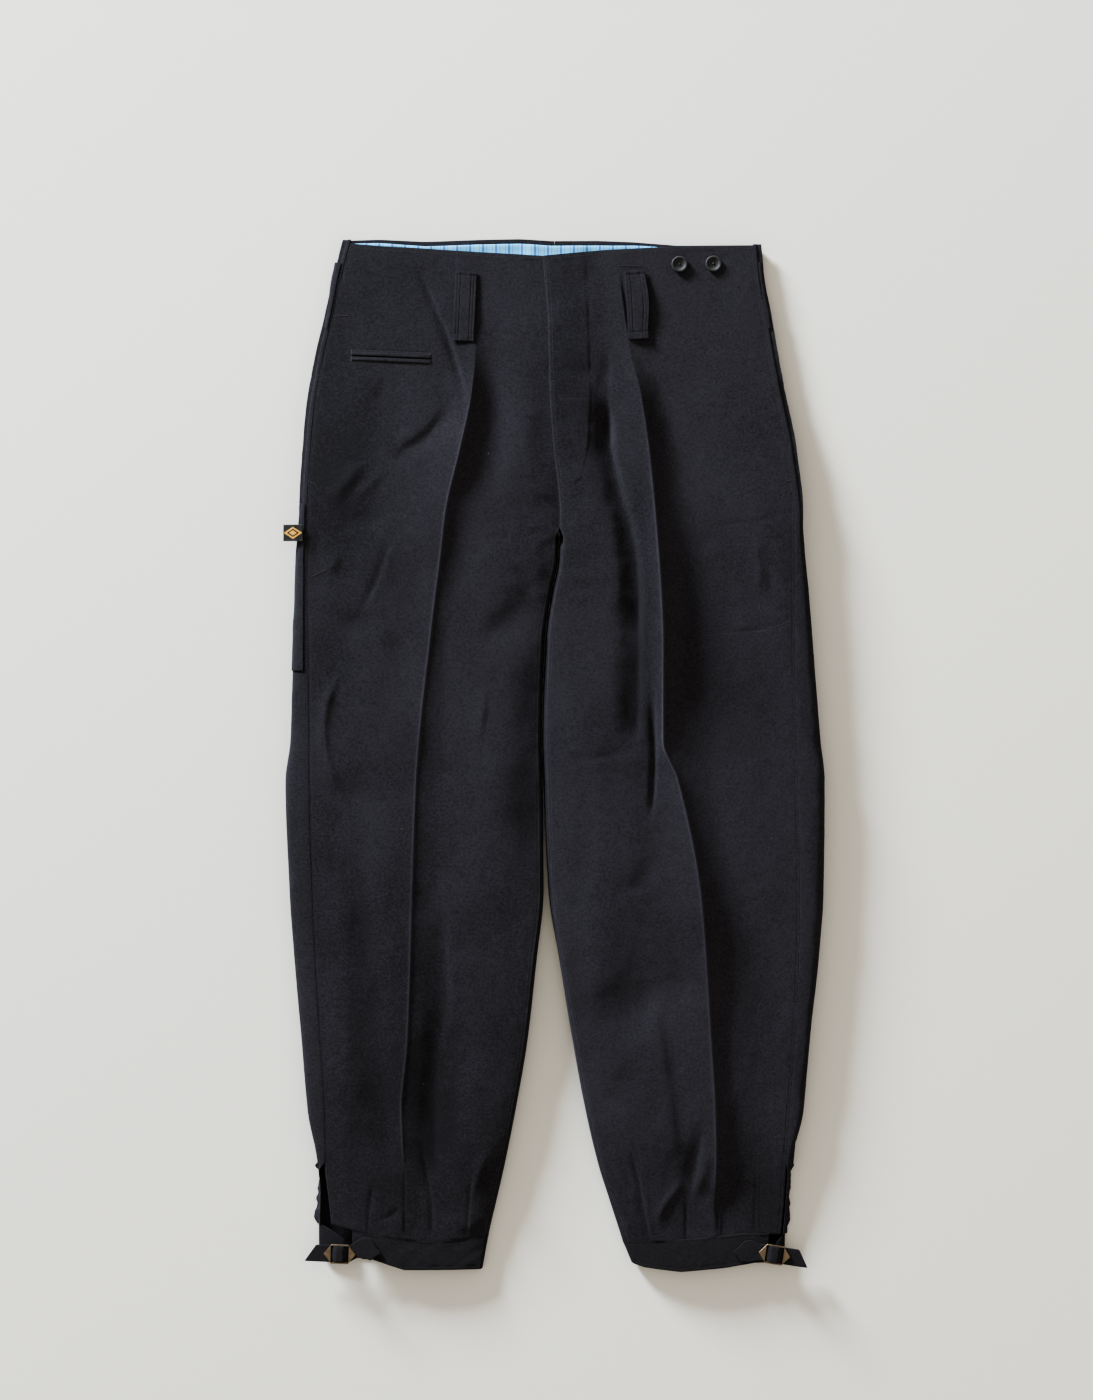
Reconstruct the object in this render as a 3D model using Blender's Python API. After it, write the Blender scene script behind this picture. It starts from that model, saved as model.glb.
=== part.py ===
"""Trousers laid flat on their back, front up: fronts, backs, cuffs with buckled straps, loops and pockets.

Millimetres in the tables, metres in the scene. X runs across the garment, with the wearer's right leg at -X,
Y runs from the hems up to the waist and Z is up from the surface. The origin is under the garment's middle.
A drop is a distance down the garment from the highest point of the waist.
"""

import math
from collections import namedtuple

import bmesh
import bpy
import numpy as np

MM = 0.001

# Driving sizes
LENGTH = 1030.0
HEM_DROP = 995.0
CROTCH_DROP = 300.0
FLY_END_DROP = 252.0
FLY_LAP = 12.0

# Walls of cloth, and the gap left at every seam
CLOTH = 1.4
TURNED_CLOTH = 2.0
FACING_CLOTH = 1.0
LIP_CLOTH = 1.0
GAP = 0.3
CLEAR = 0.3

# The rolled edges: how far each one bulges, and its widest place as a share of the edge's height
FLOOR_ROLL = 8.0
INNER_ROLL = 6.0
INSEAM_INSET = 4.0
EDGE_SHARE = 0.45
CREASE_POWER = 1.7

# Strips and trimmings
LOOP_WIDTH = 20.0
LOOP_RISE = 2.8
STRAP_WIDTH = 15.0
STRAP_TAIL = 28.5
TAIL_SLANT = 5.0
TAB_WIDTH = 20.0
TAB_START = 16.0
TAB_TIP = 39.5
SLIT_TURN_DEG = 62.0
CUFF_EDGE = 9.0
CUFF_RISE = 6.0
CUFF_POWER = 2.5
LABEL_DROOP = 2.5
FACING_ENDS = (-188.0, 186.0)
FACING_DEPTHS = (2.5, 24.0, 46.0)
FACING_STEPS = 17

# One row for each cross-section of a leg, from the waist to the hem.
# The first columns are places across the garment, from the outer edge to the inner one.
# The z columns are heights of the front above the surface at the same places.
Section = namedtuple(
    "Section",
    "drop outer seam foot ridge valley shoulder inner"
    " z_seam z_foot z_ridge z_valley z_shoulder z_inner",
)
RIGHT_SECTIONS = (
    Section(0, -208, -204, -134, -97, -79, -44, -11, 9, 12, 12.5, 12, 12, 12),
    Section(30, -217, -212, -132, -95, -75, -43, -9, 10, 13, 14, 13, 13, 13),
    Section(75, -227, -222, -122, -88, -68, -42, -6, 11, 15, 16, 14, 15, 14),
    Section(110, -235, -230, -113, -79, -61, -38, -5, 12, 17, 19, 16, 17, 16),
    Section(150, -243, -238, -114, -82, -61, -34, -4, 15, 19, 26, 17, 20, 18),
    Section(210, -250, -244, -132, -94, -66, -36, 0, 18, 21, 30, 20, 23, 19),
    Section(270, -254, -247, -150, -108, -88, -48, 5, 20, 23, 29, 25, 26, 18),
    Section(320, -258, -247, -158, -114, -96, -50, 3, 21, 24, 28, 25, 26, 18),
    Section(350, -259, -247, -163, -118, -100, -53, -3, 21, 24, 28, 25, 26, 18),
    Section(400, -261, -246, -170, -124, -105, -60, -10, 21, 24, 28, 25, 26, 18),
    Section(500, -264, -245, -185, -135, -113, -64, -13, 21, 25, 27, 24, 26, 18),
    Section(540, -269, -245, -190, -138, -114, -64, -12, 21, 25, 26, 23, 26, 18),
    Section(650, -265, -242, -200, -142, -114, -67, -11, 21, 25, 25, 22, 25, 18),
    Section(720, -260, -239, -204, -144, -114, -70, -18, 20, 24, 24, 20, 24, 18),
    Section(800, -253, -234, -206, -147, -114, -74, -27, 19, 23, 22, 18, 23, 17),
    Section(870, -247, -230, -205, -153, -119, -77, -39, 17, 21, 21, 16, 21, 15),
    Section(925, -237, -229, -202, -151, -123, -82, -50, 14, 18, 18, 14, 19, 13),
    Section(960, -235, -226, -198, -151, -124, -86, -58, 11, 15, 16, 14, 16, 11),
    Section(995, -236, -223, -187, -154, -124, -87, -66, 9, 14, 16, 14, 15, 9),
    Section(1030, -236, -221, -187, -155, -124, -90, -72, 9, 14, 15, 14, 14, 9),
)
LEFT_SECTIONS = (
    Section(0, 203, 199, 96, 63, 49, 20, -11, 9, 12, 13, 13, 14, 14),
    Section(30, 206, 202, 96, 65, 50, 21, -9, 10, 12, 14, 14, 15, 15),
    Section(75, 213, 209, 96, 70, 51, 24, -6, 11, 13, 17, 15, 16, 16),
    Section(110, 219, 215, 98, 75, 51, 26, -5, 12, 15, 20, 17, 17, 17),
    Section(150, 227, 223, 106, 85, 52, 28, -4, 15, 16, 25, 18, 18, 18),
    Section(210, 239, 234, 122, 94, 53, 30, 0, 18, 18, 30, 20, 21, 19),
    Section(270, 247, 240, 132, 100, 64, 36, 6, 21, 20, 34, 23, 24, 19),
    Section(320, 251, 240, 138, 104, 75, 40, 4, 22, 20, 35, 24, 24, 19),
    Section(350, 254, 240, 141, 106, 77, 40, -2, 22, 20, 35, 24, 24, 19),
    Section(400, 258, 240, 146, 108, 80, 40, -9, 22, 21, 36, 25, 26, 19),
    Section(500, 266, 242, 157, 108, 97, 46, -12, 22, 22, 34, 25, 28, 19),
    Section(540, 270, 243, 158, 123, 99, 46, -11, 23, 22, 33, 25, 28, 19),
    Section(650, 269, 245, 178, 145, 102, 50, -6, 22, 22, 35, 28, 29, 18),
    Section(720, 264, 244, 177, 151, 107, 56, 5, 21, 21, 31, 27, 28, 18),
    Section(800, 255, 240, 175, 156, 113, 65, 18, 20, 20, 27, 24, 25, 17),
    Section(870, 249, 235, 183, 160, 117, 70, 31, 18, 18, 25, 21, 23, 16),
    Section(925, 236, 231, 184, 161, 134, 84, 44, 15, 16, 23, 18, 20, 13),
    Section(960, 233, 229, 176, 160, 133, 90, 56, 12, 14, 19, 16, 17, 11),
    Section(995, 231, 226, 167, 164, 132, 95, 68, 9, 14, 16, 14, 15, 9),
    Section(1030, 230, 224, 167, 163, 132, 97, 77, 9, 14, 15, 14, 14, 9),
)

# Edge lines that aren't straight across: how far down they lie at each place.
EdgePoint = namedtuple("EdgePoint", "x drop")
WAIST_FRONT = (
    EdgePoint(-205, 2), EdgePoint(-98, 11), EdgePoint(-11, 17),
    EdgePoint(50, 10.5), EdgePoint(105, 7.5), EdgePoint(202, 5),
)
WAIST_BACK = (
    EdgePoint(-208, 1), EdgePoint(-130, 3), EdgePoint(-34, 0), EdgePoint(30, 2),
    EdgePoint(123, 7), EdgePoint(203, 5),
)
HEM_SEAM = (
    EdgePoint(-223, 984), EdgePoint(-182, 994), EdgePoint(-125, 1001), EdgePoint(-66, 995),
    EdgePoint(69, 1001), EdgePoint(133, 999), EdgePoint(190, 993), EdgePoint(226, 994),
)
HEM_EDGE = (
    EdgePoint(-230, 1014), EdgePoint(-184, 1017), EdgePoint(-150, 1028), EdgePoint(-74, 1028),
    EdgePoint(77, 1022), EdgePoint(90, 1026), EdgePoint(126, 1030), EdgePoint(169, 1026),
    EdgePoint(200, 1021), EdgePoint(230, 1021),
)
EDGE_FADE = 80.0

# Folds pressed into a front, each along a line: troughs have a negative height.
# A hem tuck is deepest at its lower end, and every other fold fades out at both ends.
Fold = namedtuple("Fold", "x_top drop_top x_low drop_low height width to_hem")
RIGHT_FOLDS = (
    Fold(-122, 60, -90, 150, -5.0, 7, False),
    Fold(-160, 290, -192, 372, -3.0, 9, False),
    Fold(-222, 430, -228, 540, 2.5, 7, False),
    Fold(-70, 455, -78, 515, 2.0, 7, False),
    Fold(-206, 915, -187, 992, -4.0, 7, True),
    Fold(-172, 985, -152, 950, -3.0, 6, False),
    Fold(-151, 950, -154, 995, -4.0, 5, True),
    Fold(-122, 860, -124, 998, -6.0, 7, True),
    Fold(-81, 930, -88, 997, -4.0, 6, True),
)
LEFT_FOLDS = (
    Fold(-9, 519, 96, 504, -3.5, 8, False),
    Fold(66, 250, 84, 490, -5.0, 14, False),
    Fold(99, 480, 94, 590, -6.0, 8, False),
    Fold(60, 745, 125, 760, -3.0, 22, False),
    Fold(185, 278, 238, 270, -2.0, 6, False),
    Fold(180, 384, 238, 376, -2.0, 6, False),
    Fold(88, 920, 95, 1000, -5.0, 7, True),
    Fold(148, 895, 132, 998, -6.0, 7, True),
    Fold(160, 950, 164, 995, -4.0, 6, True),
    Fold(94, 984, 124, 945, 2.0, 7, False),
)

# Runs of rows down a leg, closer together at the crotch, the knee and the gathered hem.
RowRun = namedtuple("RowRun", "start end count")
ROW_RUNS = (
    RowRun(0, 286, 12), RowRun(286, 308, 3), RowRun(308, 560, 10), RowRun(560, 880, 8),
    RowRun(880, HEM_DROP, 8),
)
FRONT_SPANS = (5, 4, 4, 3, 4)
FLOOR_SPANS = 6
EDGE_TURNS = 3
SIDE_TURNS = 5
WRAP_TURNS = 5

# Where a cuff is left open: the front's columns that it skips, and where its other end laps over the edge.
CuffEnd = namedtuple("CuffEnd", "skipped wrap_x wrap_dip")
CUFF_ENDS = {"right": CuffEnd(3, -211.0, 13.0), "left": CuffEnd(1, 222.5, 8.0)}

# A buckle's middle, its turn, and how far its tab's centre line lies off the strap's at places along it.
Buckle = namedtuple("Buckle", "x drop z tilt_deg bend_at bend")
BUCKLES = {
    "right": Buckle(-214.5, 1012.5, 16.6, -2.0, (9, 20, 28, 39.5), (0, 6.5, 6.5, 2.4)),
    "left": Buckle(219.5, 1013.0, 16.6, -9.0, (9, 26, 39.5, 40), (0, -1.0, -3.8, -3.8)),
}
BUCKLE_OUTLINE = ((-16, 0), (-8.5, 9.7), (8.5, 9.7), (16, 0), (8.5, -9.7), (-8.5, -9.7))
BUCKLE_SLOT_X = 8.8
BUCKLE_SLOT_Y = 8.1
BUCKLE_THICK = 1.5
BUCKLE_BAR = 1.1
STRAP_STATIONS = (39, 34, 28, 22, 17, 12, 8.9, 7, 5, 3, 1.2, 0)

# A side loop stands this far off the hip in its middle.
SIDE_LOOP_LIFT = {"right": 2.4, "left": 0.5}

# Layers round the outer edge of a back: their ends down the garment, and round it from the side seam.
EdgeLayer = namedtuple("EdgeLayer", "start end rows turn_start_deg turn_end_deg columns")
SIDE_LOOP = EdgeLayer(22, 88, 9, 8, 112, 6)
TOOL_POCKET = EdgeLayer(264, 430, 9, 10, 130, 8)

# The label, from its outer end to where it is sewn in at the tool pocket's edge.
Patch = namedtuple("Patch", "x_outer x_sewn drop_top drop_low")
LABEL = Patch(-270, -249, 285, 301)

# Half of a button's section, from its middle out and back: distance from the axis and height.
ProfilePoint = namedtuple("ProfilePoint", "radius height")
BUTTON_PROFILE = (
    ProfilePoint(0.0, 1.0), ProfilePoint(4.6, 1.0), ProfilePoint(5.6, 1.9), ProfilePoint(7.0, 2.3),
    ProfilePoint(8.2, 1.5), ProfilePoint(7.8, 0.6), ProfilePoint(5.8, 0.0), ProfilePoint(0.0, 0.0),
)
BUTTON_STEPS = 24
HOLE_RADIUS = 0.75
HOLE_PLACE = 1.55
HOLE_STEPS = 8
HOLE_DEPTH = 12.0

BLACK = (0.012, 0.012, 0.016)
BLUE = (0.36, 0.62, 0.85)
BRASS = (0.24, 0.17, 0.08)
HORN = (0.03, 0.03, 0.033)

Leg = namedtuple("Leg", "name side sections folds")
RIGHT = Leg("right", -1, RIGHT_SECTIONS, RIGHT_FOLDS)
LEFT = Leg("left", 1, LEFT_SECTIONS, LEFT_FOLDS)


def smooth_step(value, low, high):
    share = np.clip((value - low) / (high - low), 0, 1)
    return share * share * (3 - 2 * share)


def smooth_through(knots, values, at):
    """A cubic curve through the rows of a table that never swings past its values."""
    step = np.diff(knots)
    rise = np.diff(values) / step
    both = rise[:-1] + rise[1:]
    level = rise[:-1] * rise[1:] <= 0
    slope = np.zeros(len(knots))
    slope[1:-1] = np.where(level, 0, 2 * rise[:-1] * rise[1:] / np.where(level, 1, both))
    slope[0] = rise[0]
    slope[-1] = rise[-1]
    row = np.clip(np.searchsorted(knots, at, side="right") - 1, 0, len(step) - 1)
    t = (at - knots[row]) / step[row]
    return (
        values[row] * (1 + 2 * t) * (1 - t) ** 2
        + values[row + 1] * t * t * (3 - 2 * t)
        + step[row] * (slope[row] * t * (1 - t) ** 2 - slope[row + 1] * t * t * (1 - t))
    )


def column(leg, name, drop):
    """One named column of a leg's table, at any drop."""
    knots = np.array([row.drop for row in leg.sections], float)
    values = np.array([getattr(row, name) for row in leg.sections], float)
    return smooth_through(knots, values, np.asarray(drop, float))


def edge_line(points, x):
    return np.interp(x, [p.x for p in points], [p.drop for p in points])


def fold_height(fold, x, drop):
    """Height of a fold: a bell across its line, faded out towards its ends."""
    along = np.array([fold.x_low - fold.x_top, fold.drop_low - fold.drop_top], float)
    length = np.hypot(*along)
    along /= length
    t = (x - fold.x_top) * along[0] + (drop - fold.drop_top) * along[1]
    across = (x - fold.x_top) * along[1] - (drop - fold.drop_top) * along[0]
    beyond = np.maximum(t - length, 0) * (0 if fold.to_hem else 1)
    fade = smooth_step(t, 0, length * 0.5)
    if not fold.to_hem:
        fade = fade * smooth_step(length - t, 0, length * 0.5)
    bell = np.exp(-((across / fold.width) ** 2) - (beyond / fold.width) ** 2)
    return fold.height * bell * fade


def rise_to(t):
    return t**CREASE_POWER


def fall_from(t):
    return 1 - (1 - t) ** CREASE_POWER


def even(t):
    return t * t * (3 - 2 * t)


def roll_off(t):
    return t * t


SPANS = (
    ("seam", "foot", even),
    ("foot", "ridge", rise_to),
    ("ridge", "valley", fall_from),
    ("valley", "shoulder", even),
    ("shoulder", "inner", roll_off),
)


def front_height(leg, x, drop):
    """Height of a front's outer face: each span of a section leads from one column's height to the next."""
    height = column(leg, "z_seam", drop)
    for start, end, shape in SPANS:
        x_start = column(leg, start, drop)
        share = np.clip((x - x_start) / (column(leg, end, drop) - x_start), 0, 1)
        change = column(leg, "z_" + end, drop) - column(leg, "z_" + start, drop)
        height = height + change * shape(share)
    for fold in leg.folds:
        height = height + fold_height(fold, x, drop)
    return height


def inseam(leg, drop):
    """A front's inner edge: the fly line on the hips, and a little inside the leg's outline below them."""
    return column(leg, "inner", drop) + leg.side * INSEAM_INSET * crotch_turn(drop)


def row_drops():
    runs = [np.linspace(run.start, run.end, run.count, endpoint=False) for run in ROW_RUNS]
    return np.append(np.concatenate(runs), HEM_DROP)


def slanted(drop, x, waist_line):
    """Rows follow the waist edge at the top and the hem seam at the bottom, and lie straight between."""
    at_waist = 1 - smooth_step(drop, 0, EDGE_FADE)
    at_hem = smooth_step(drop, HEM_DROP - EDGE_FADE, HEM_DROP)
    waist = edge_line(waist_line, x)
    hem = edge_line(HEM_SEAM, x) - HEM_DROP - GAP
    return drop + waist * at_waist + hem * at_hem


def grid_points(x, drop, z):
    return np.stack([x, LENGTH / 2 - drop, z], axis=-1)


def grid_normals(points):
    down = np.gradient(points, axis=0)
    across = np.gradient(points, axis=1)
    normal = np.cross(across, down)
    return normal / np.linalg.norm(normal, axis=-1, keepdims=True)


def material(name, colour, roughness, metallic=0.0):
    made = bpy.data.materials.get(name) or bpy.data.materials.new(name)
    made.use_nodes = True
    shader = made.node_tree.nodes["Principled BSDF"]
    shader.inputs["Base Color"].default_value = (*colour, 1)
    shader.inputs["Roughness"].default_value = roughness
    shader.inputs["Metallic"].default_value = metallic
    return made


def add_solid(name, build, made_of, smooth=True):
    """One closed, outward-facing object from a bmesh that build fills in, in millimetres."""
    mesh = bpy.data.meshes.new(name)
    work = bmesh.new()
    build(work)
    for face in work.faces:
        face.smooth = smooth
    bmesh.ops.recalc_face_normals(work, faces=work.faces)
    bmesh.ops.scale(work, vec=(MM, MM, MM), verts=work.verts)
    work.to_mesh(mesh)
    work.free()
    mesh.materials.append(made_of)
    solid = bpy.data.objects.new(name, mesh)
    bpy.context.scene.collection.objects.link(solid)
    return solid


def add_layer(name, outer, inner, made_of):
    """A wall between two grids of points of the same size, closed round its four edges."""
    rows, columns = outer.shape[:2]

    def build(work):
        faces = [[[work.verts.new(p) for p in line] for line in grid] for grid in (outer, inner)]
        for grid in faces:
            for i in range(rows - 1):
                for j in range(columns - 1):
                    work.faces.new((grid[i][j], grid[i + 1][j], grid[i + 1][j + 1], grid[i][j + 1]))
        border = [(0, j) for j in range(columns)]
        border += [(i, columns - 1) for i in range(1, rows)]
        border += [(rows - 1, j) for j in range(columns - 2, -1, -1)]
        border += [(i, 0) for i in range(rows - 2, 0, -1)]
        for (i, j), (k, m) in zip(border, border[1:] + border[:1]):
            work.faces.new((faces[0][i][j], faces[0][k][m], faces[1][k][m], faces[1][i][j]))

    return add_solid(name, build, made_of)


def add_wall(name, outer, thickness, made_of, flip=False, sewn=(1, 1)):
    """A wall of cloth: the outer face's points and the same points moved in by its thickness.

    Its ends are cut square, and a sewn side edge straight down, so that neither leans on the next panel.
    """
    inward = grid_normals(outer) * (1 if flip else -1)
    inward[[0, -1], :, 1] = 0
    for column_at, share in zip((0, -1), sewn):
        share = np.broadcast_to(share, len(outer))[:, None]
        inward[:, column_at] = inward[:, column_at] * (1 - share) + np.array([0, 0, -1]) * share
    return add_layer(name, outer, outer + inward * thickness, made_of)


def front_columns(leg, drop):
    """Places across a front, close together near its creases."""
    stops = [column(leg, name, drop) for name in ("seam", "foot", "ridge", "valley", "shoulder")]
    short = 2.0 * fly_closed(drop) if leg is RIGHT else 0.0
    stops.append(inseam(leg, drop) - short)
    x = [stops[0]]
    for start, end, count in zip(stops, stops[1:], FRONT_SPANS):
        x += [start + (end - start) * k / count for k in range(1, count + 1)]
    return np.stack(x, axis=-1)


def add_front(leg, made_of):
    drop = row_drops()
    x = front_columns(leg, drop)
    if leg is RIGHT:
        x = np.concatenate([x, fly_lap_columns(drop)], axis=1)
    drop = slanted(drop[:, None], x, WAIST_FRONT)
    z = front_height(leg, x, drop)
    if leg is RIGHT:
        under = front_height(LEFT, x, drop) - CLOTH - GAP - CLEAR
        z[:, -3:] = np.minimum(z[:, -3:], under[:, -3:])
    outer = grid_points(x, drop, z)
    add_wall("front_" + leg.name, outer, CLOTH, made_of, flip=leg.side < 0)


def fly_closed(drop):
    """0 down the open part of the fly, 1 below it."""
    return smooth_step(drop, FLY_END_DROP - 60, FLY_END_DROP)


def fly_lap_columns(drop):
    """The right front runs on under the left one as far down as the fly is open."""
    closed = fly_closed(drop)
    lap = FLY_LAP * (1 - closed)
    edge = inseam(RIGHT, drop)
    return np.stack([edge + lap * 0.5 - closed, edge + lap], axis=1)


def quarter_turn(count):
    """Angles of a quarter turn in even steps, without the first."""
    return np.linspace(0, math.pi / 2, count + 1)[1:]


def outer_roll(leg, drop, angles, offset=0.0):
    """Points round a back's outer edge, moved out by offset: angle 0 is the side seam, and 90 the edge."""
    seam = column(leg, "seam", drop) + leg.side * GAP
    outer = column(leg, "outer", drop)
    top = column(leg, "z_seam", drop)
    edge = EDGE_SHARE * top
    upper = np.minimum(angles, math.pi / 2)
    lower = np.maximum(angles - math.pi / 2, 0)
    x = seam + (outer - seam) * np.sin(upper) - leg.side * FLOOR_ROLL * (1 - np.cos(lower))
    z = np.where(lower > 0, edge * (1 - np.sin(lower)), edge + (top - edge) * np.cos(upper))
    return x + leg.side * offset * np.sin(upper), z + offset * np.cos(upper)


def back_section(leg, drop, slit):
    """A back's outer face at one drop: from the side seam round the edge, then underneath to the inseam."""
    start = slit * math.radians(SLIT_TURN_DEG)
    angles = np.append(
        np.linspace(start, math.pi / 2, SIDE_TURNS), math.pi / 2 + quarter_turn(EDGE_TURNS)
    )
    side_x, side_z = outer_roll(leg, drop, angles)
    inner = column(leg, "inner", drop)
    turned = crotch_turn(drop)
    centre = centre_back(leg, drop)
    floor_end = (1 - turned) * centre + turned * inner + leg.side * INNER_ROLL
    floor_x = np.linspace(side_x[-1], floor_end, FLOOR_SPANS + 1)[1:]
    inner_top = column(leg, "z_inner", drop) - GAP
    inner_edge = EDGE_SHARE * inner_top
    turn = quarter_turn(EDGE_TURNS)
    rolled_x = np.append(
        inner + leg.side * INNER_ROLL * (1 - np.sin(turn)),
        inner + leg.side * (INSEAM_INSET - GAP) * (1 - np.cos(turn)),
    )
    rolled_z = np.append(
        inner_edge * (1 - np.cos(turn)), inner_edge + (inner_top - inner_edge) * np.sin(turn)
    )
    flat_x = np.linspace(floor_end, centre, 2 * EDGE_TURNS + 1)[1:]
    x = np.concatenate([side_x, floor_x, flat_x * (1 - turned) + rolled_x * turned])
    z = np.concatenate([side_z, np.zeros(FLOOR_SPANS), rolled_z * crotch_lift(drop)])
    return x, z


def crotch_turn(drop):
    """0 on the hips, where the backs meet flat under the seat, and 1 down the legs, at the inseam."""
    return smooth_step(drop, CROTCH_DROP - 14, CROTCH_DROP - 2)


def crotch_lift(drop):
    """The same for the height of that edge, which rises a little later."""
    return smooth_step(drop, CROTCH_DROP - 14, CROTCH_DROP + 8)


def centre_back(leg, drop):
    """The seat seam, straight down from the waist, with a hair's breadth between the two backs."""
    return leg.side * GAP / 2 + 2.0 * smooth_step(drop, 200, CROTCH_DROP)


def slit_share(drop):
    """0 where the side seam is sewn, 1 where it is left open above the cuff."""
    return smooth_step(drop, 922, 934)


def add_back(leg, made_of):
    rows = row_drops()
    slit = slit_share(rows) * (1.0 if leg is RIGHT else 0.5)
    sections = [back_section(leg, drop, share) for drop, share in zip(rows, slit)]
    x = np.array([section[0] for section in sections])
    z = np.array([section[1] for section in sections])
    drop = slanted(rows[:, None], x, WAIST_BACK)
    outer = grid_points(x, drop, z)
    sewn = (1 - slit_share(rows), crotch_lift(rows))
    add_wall("back_" + leg.name, outer, CLOTH, made_of, flip=leg.side > 0, sewn=sewn)


def add_facing(made_of):
    """The strip that faces the back of the waist inside, seen in the waist opening."""
    x = np.linspace(*FACING_ENDS, FACING_STEPS)
    depth = np.array(FACING_DEPTHS)
    drop = edge_line(WAIST_BACK, x)[None, :] + depth[:, None]
    x = np.broadcast_to(x, drop.shape)
    low = grid_points(x, drop, np.full(drop.shape, CLOTH + GAP))
    high = grid_points(x, drop, np.full(drop.shape, CLOTH + GAP + FACING_CLOTH))
    add_layer("waist_facing", high, low, made_of)


Strip = namedtuple("Strip", "x_top drop_top x_low drop_low width")


def strip_grid(strip, along, across):
    """Places on a straight strip: along from 0 to 1 down its length, across from -1 to 1 over its width."""
    heading = np.array([strip.x_low - strip.x_top, strip.drop_low - strip.drop_top], float)
    length = np.hypot(*heading)
    heading /= length
    a, b = np.meshgrid(along * length, across * strip.width / 2, indexing="ij")
    x = strip.x_top + a * heading[0] - b * heading[1]
    drop = strip.drop_top + a * heading[1] + b * heading[0]
    return x, drop


def add_strip(name, leg, strip, counts, lift, thickness, made_of):
    """A strip of cloth on a front, made from the front's own points, moved out by a gap and its lift."""
    along = np.linspace(0, 1, counts[0])
    x, drop = strip_grid(strip, along, np.linspace(-1, 1, counts[1]))
    base = front_height(leg, x, drop).max(axis=1, keepdims=True)
    z = np.broadcast_to(base + GAP + CLEAR + lift(along)[:, None], x.shape)
    add_layer(name, grid_points(x, drop, z + thickness), grid_points(x, drop, z), made_of)


def add_loop(leg, strip, made_of):
    """A belt loop lies on the cloth at both ends and stands off it between them."""

    def lift(along):
        return LOOP_RISE * np.sin(math.pi * np.clip((along - 0.06) / 0.88, 0, 1)) ** 0.6

    add_strip("belt_loop_" + leg.name, leg, strip, (9, 3), lift, TURNED_CLOTH, made_of)


def add_lip(name, strip, made_of):
    """One lip of the small welt pocket on the right hip."""
    add_strip(name, RIGHT, strip, (7, 2), np.zeros_like, LIP_CLOTH, made_of)


def add_round_edge(name, leg, layer, lift, thickness, made_of):
    """A layer of cloth round the outer edge of a back, moved out from its points by a gap and its lift."""
    drops = np.linspace(layer.start, layer.end, layer.rows)
    angles = np.radians(np.linspace(layer.turn_start_deg, layer.turn_end_deg, layer.columns))
    faces = []
    for extra in (thickness, 0.0):
        rows = [outer_roll(leg, d, angles, GAP + up + extra) for d, up in zip(drops, lift)]
        x = np.array([row[0] for row in rows])
        z = np.array([row[1] for row in rows])
        faces.append(grid_points(x, np.broadcast_to(drops[:, None], x.shape), z))
    add_layer(name, *faces, made_of)


def add_side_loop(leg, made_of):
    """A belt loop over the side seam, seen edge-on from above."""
    lift = SIDE_LOOP_LIFT[leg.name] * np.sin(math.pi * np.linspace(0, 1, SIDE_LOOP.rows)) ** 0.7
    add_round_edge("belt_loop_side_" + leg.name, leg, SIDE_LOOP, lift, TURNED_CLOTH, made_of)


def add_tool_pocket(made_of):
    """The long pocket on the right back, whose edge shows past the side seam."""
    add_round_edge("tool_pocket", RIGHT, TOOL_POCKET, np.zeros(TOOL_POCKET.rows), CLOTH, made_of)


def add_label(made_of):
    """A small flag label sewn in at the tool pocket's edge, reaching past the side of the leg."""
    across = np.linspace(LABEL.x_outer, LABEL.x_sewn, 7)
    x, drop = np.meshgrid(across, np.linspace(LABEL.drop_top, LABEL.drop_low, 3))
    middle = (LABEL.drop_top + LABEL.drop_low) / 2
    _, pocket_top = outer_roll(RIGHT, middle, np.radians(TOOL_POCKET.turn_start_deg), GAP + CLOTH)
    free = np.clip((LABEL.x_sewn - x) / (LABEL.x_sewn - LABEL.x_outer), 0, 1)
    droop = LABEL_DROOP * free**2
    low = grid_points(x, drop, pocket_top + GAP + CLEAR - droop)
    add_layer("label", low + np.array([0, 0, FACING_CLOTH]), low, made_of)


def cuff_height(leg, x, drop):
    """The front of a cuff is a low, smooth arch between its two edges."""
    seam = column(leg, "seam", drop)
    share = np.clip((x - seam) / (column(leg, "inner", drop) - seam), 0, 1)
    return CUFF_EDGE + CUFF_RISE * (1 - np.abs(2 * share - 1) ** CUFF_POWER)


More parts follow.
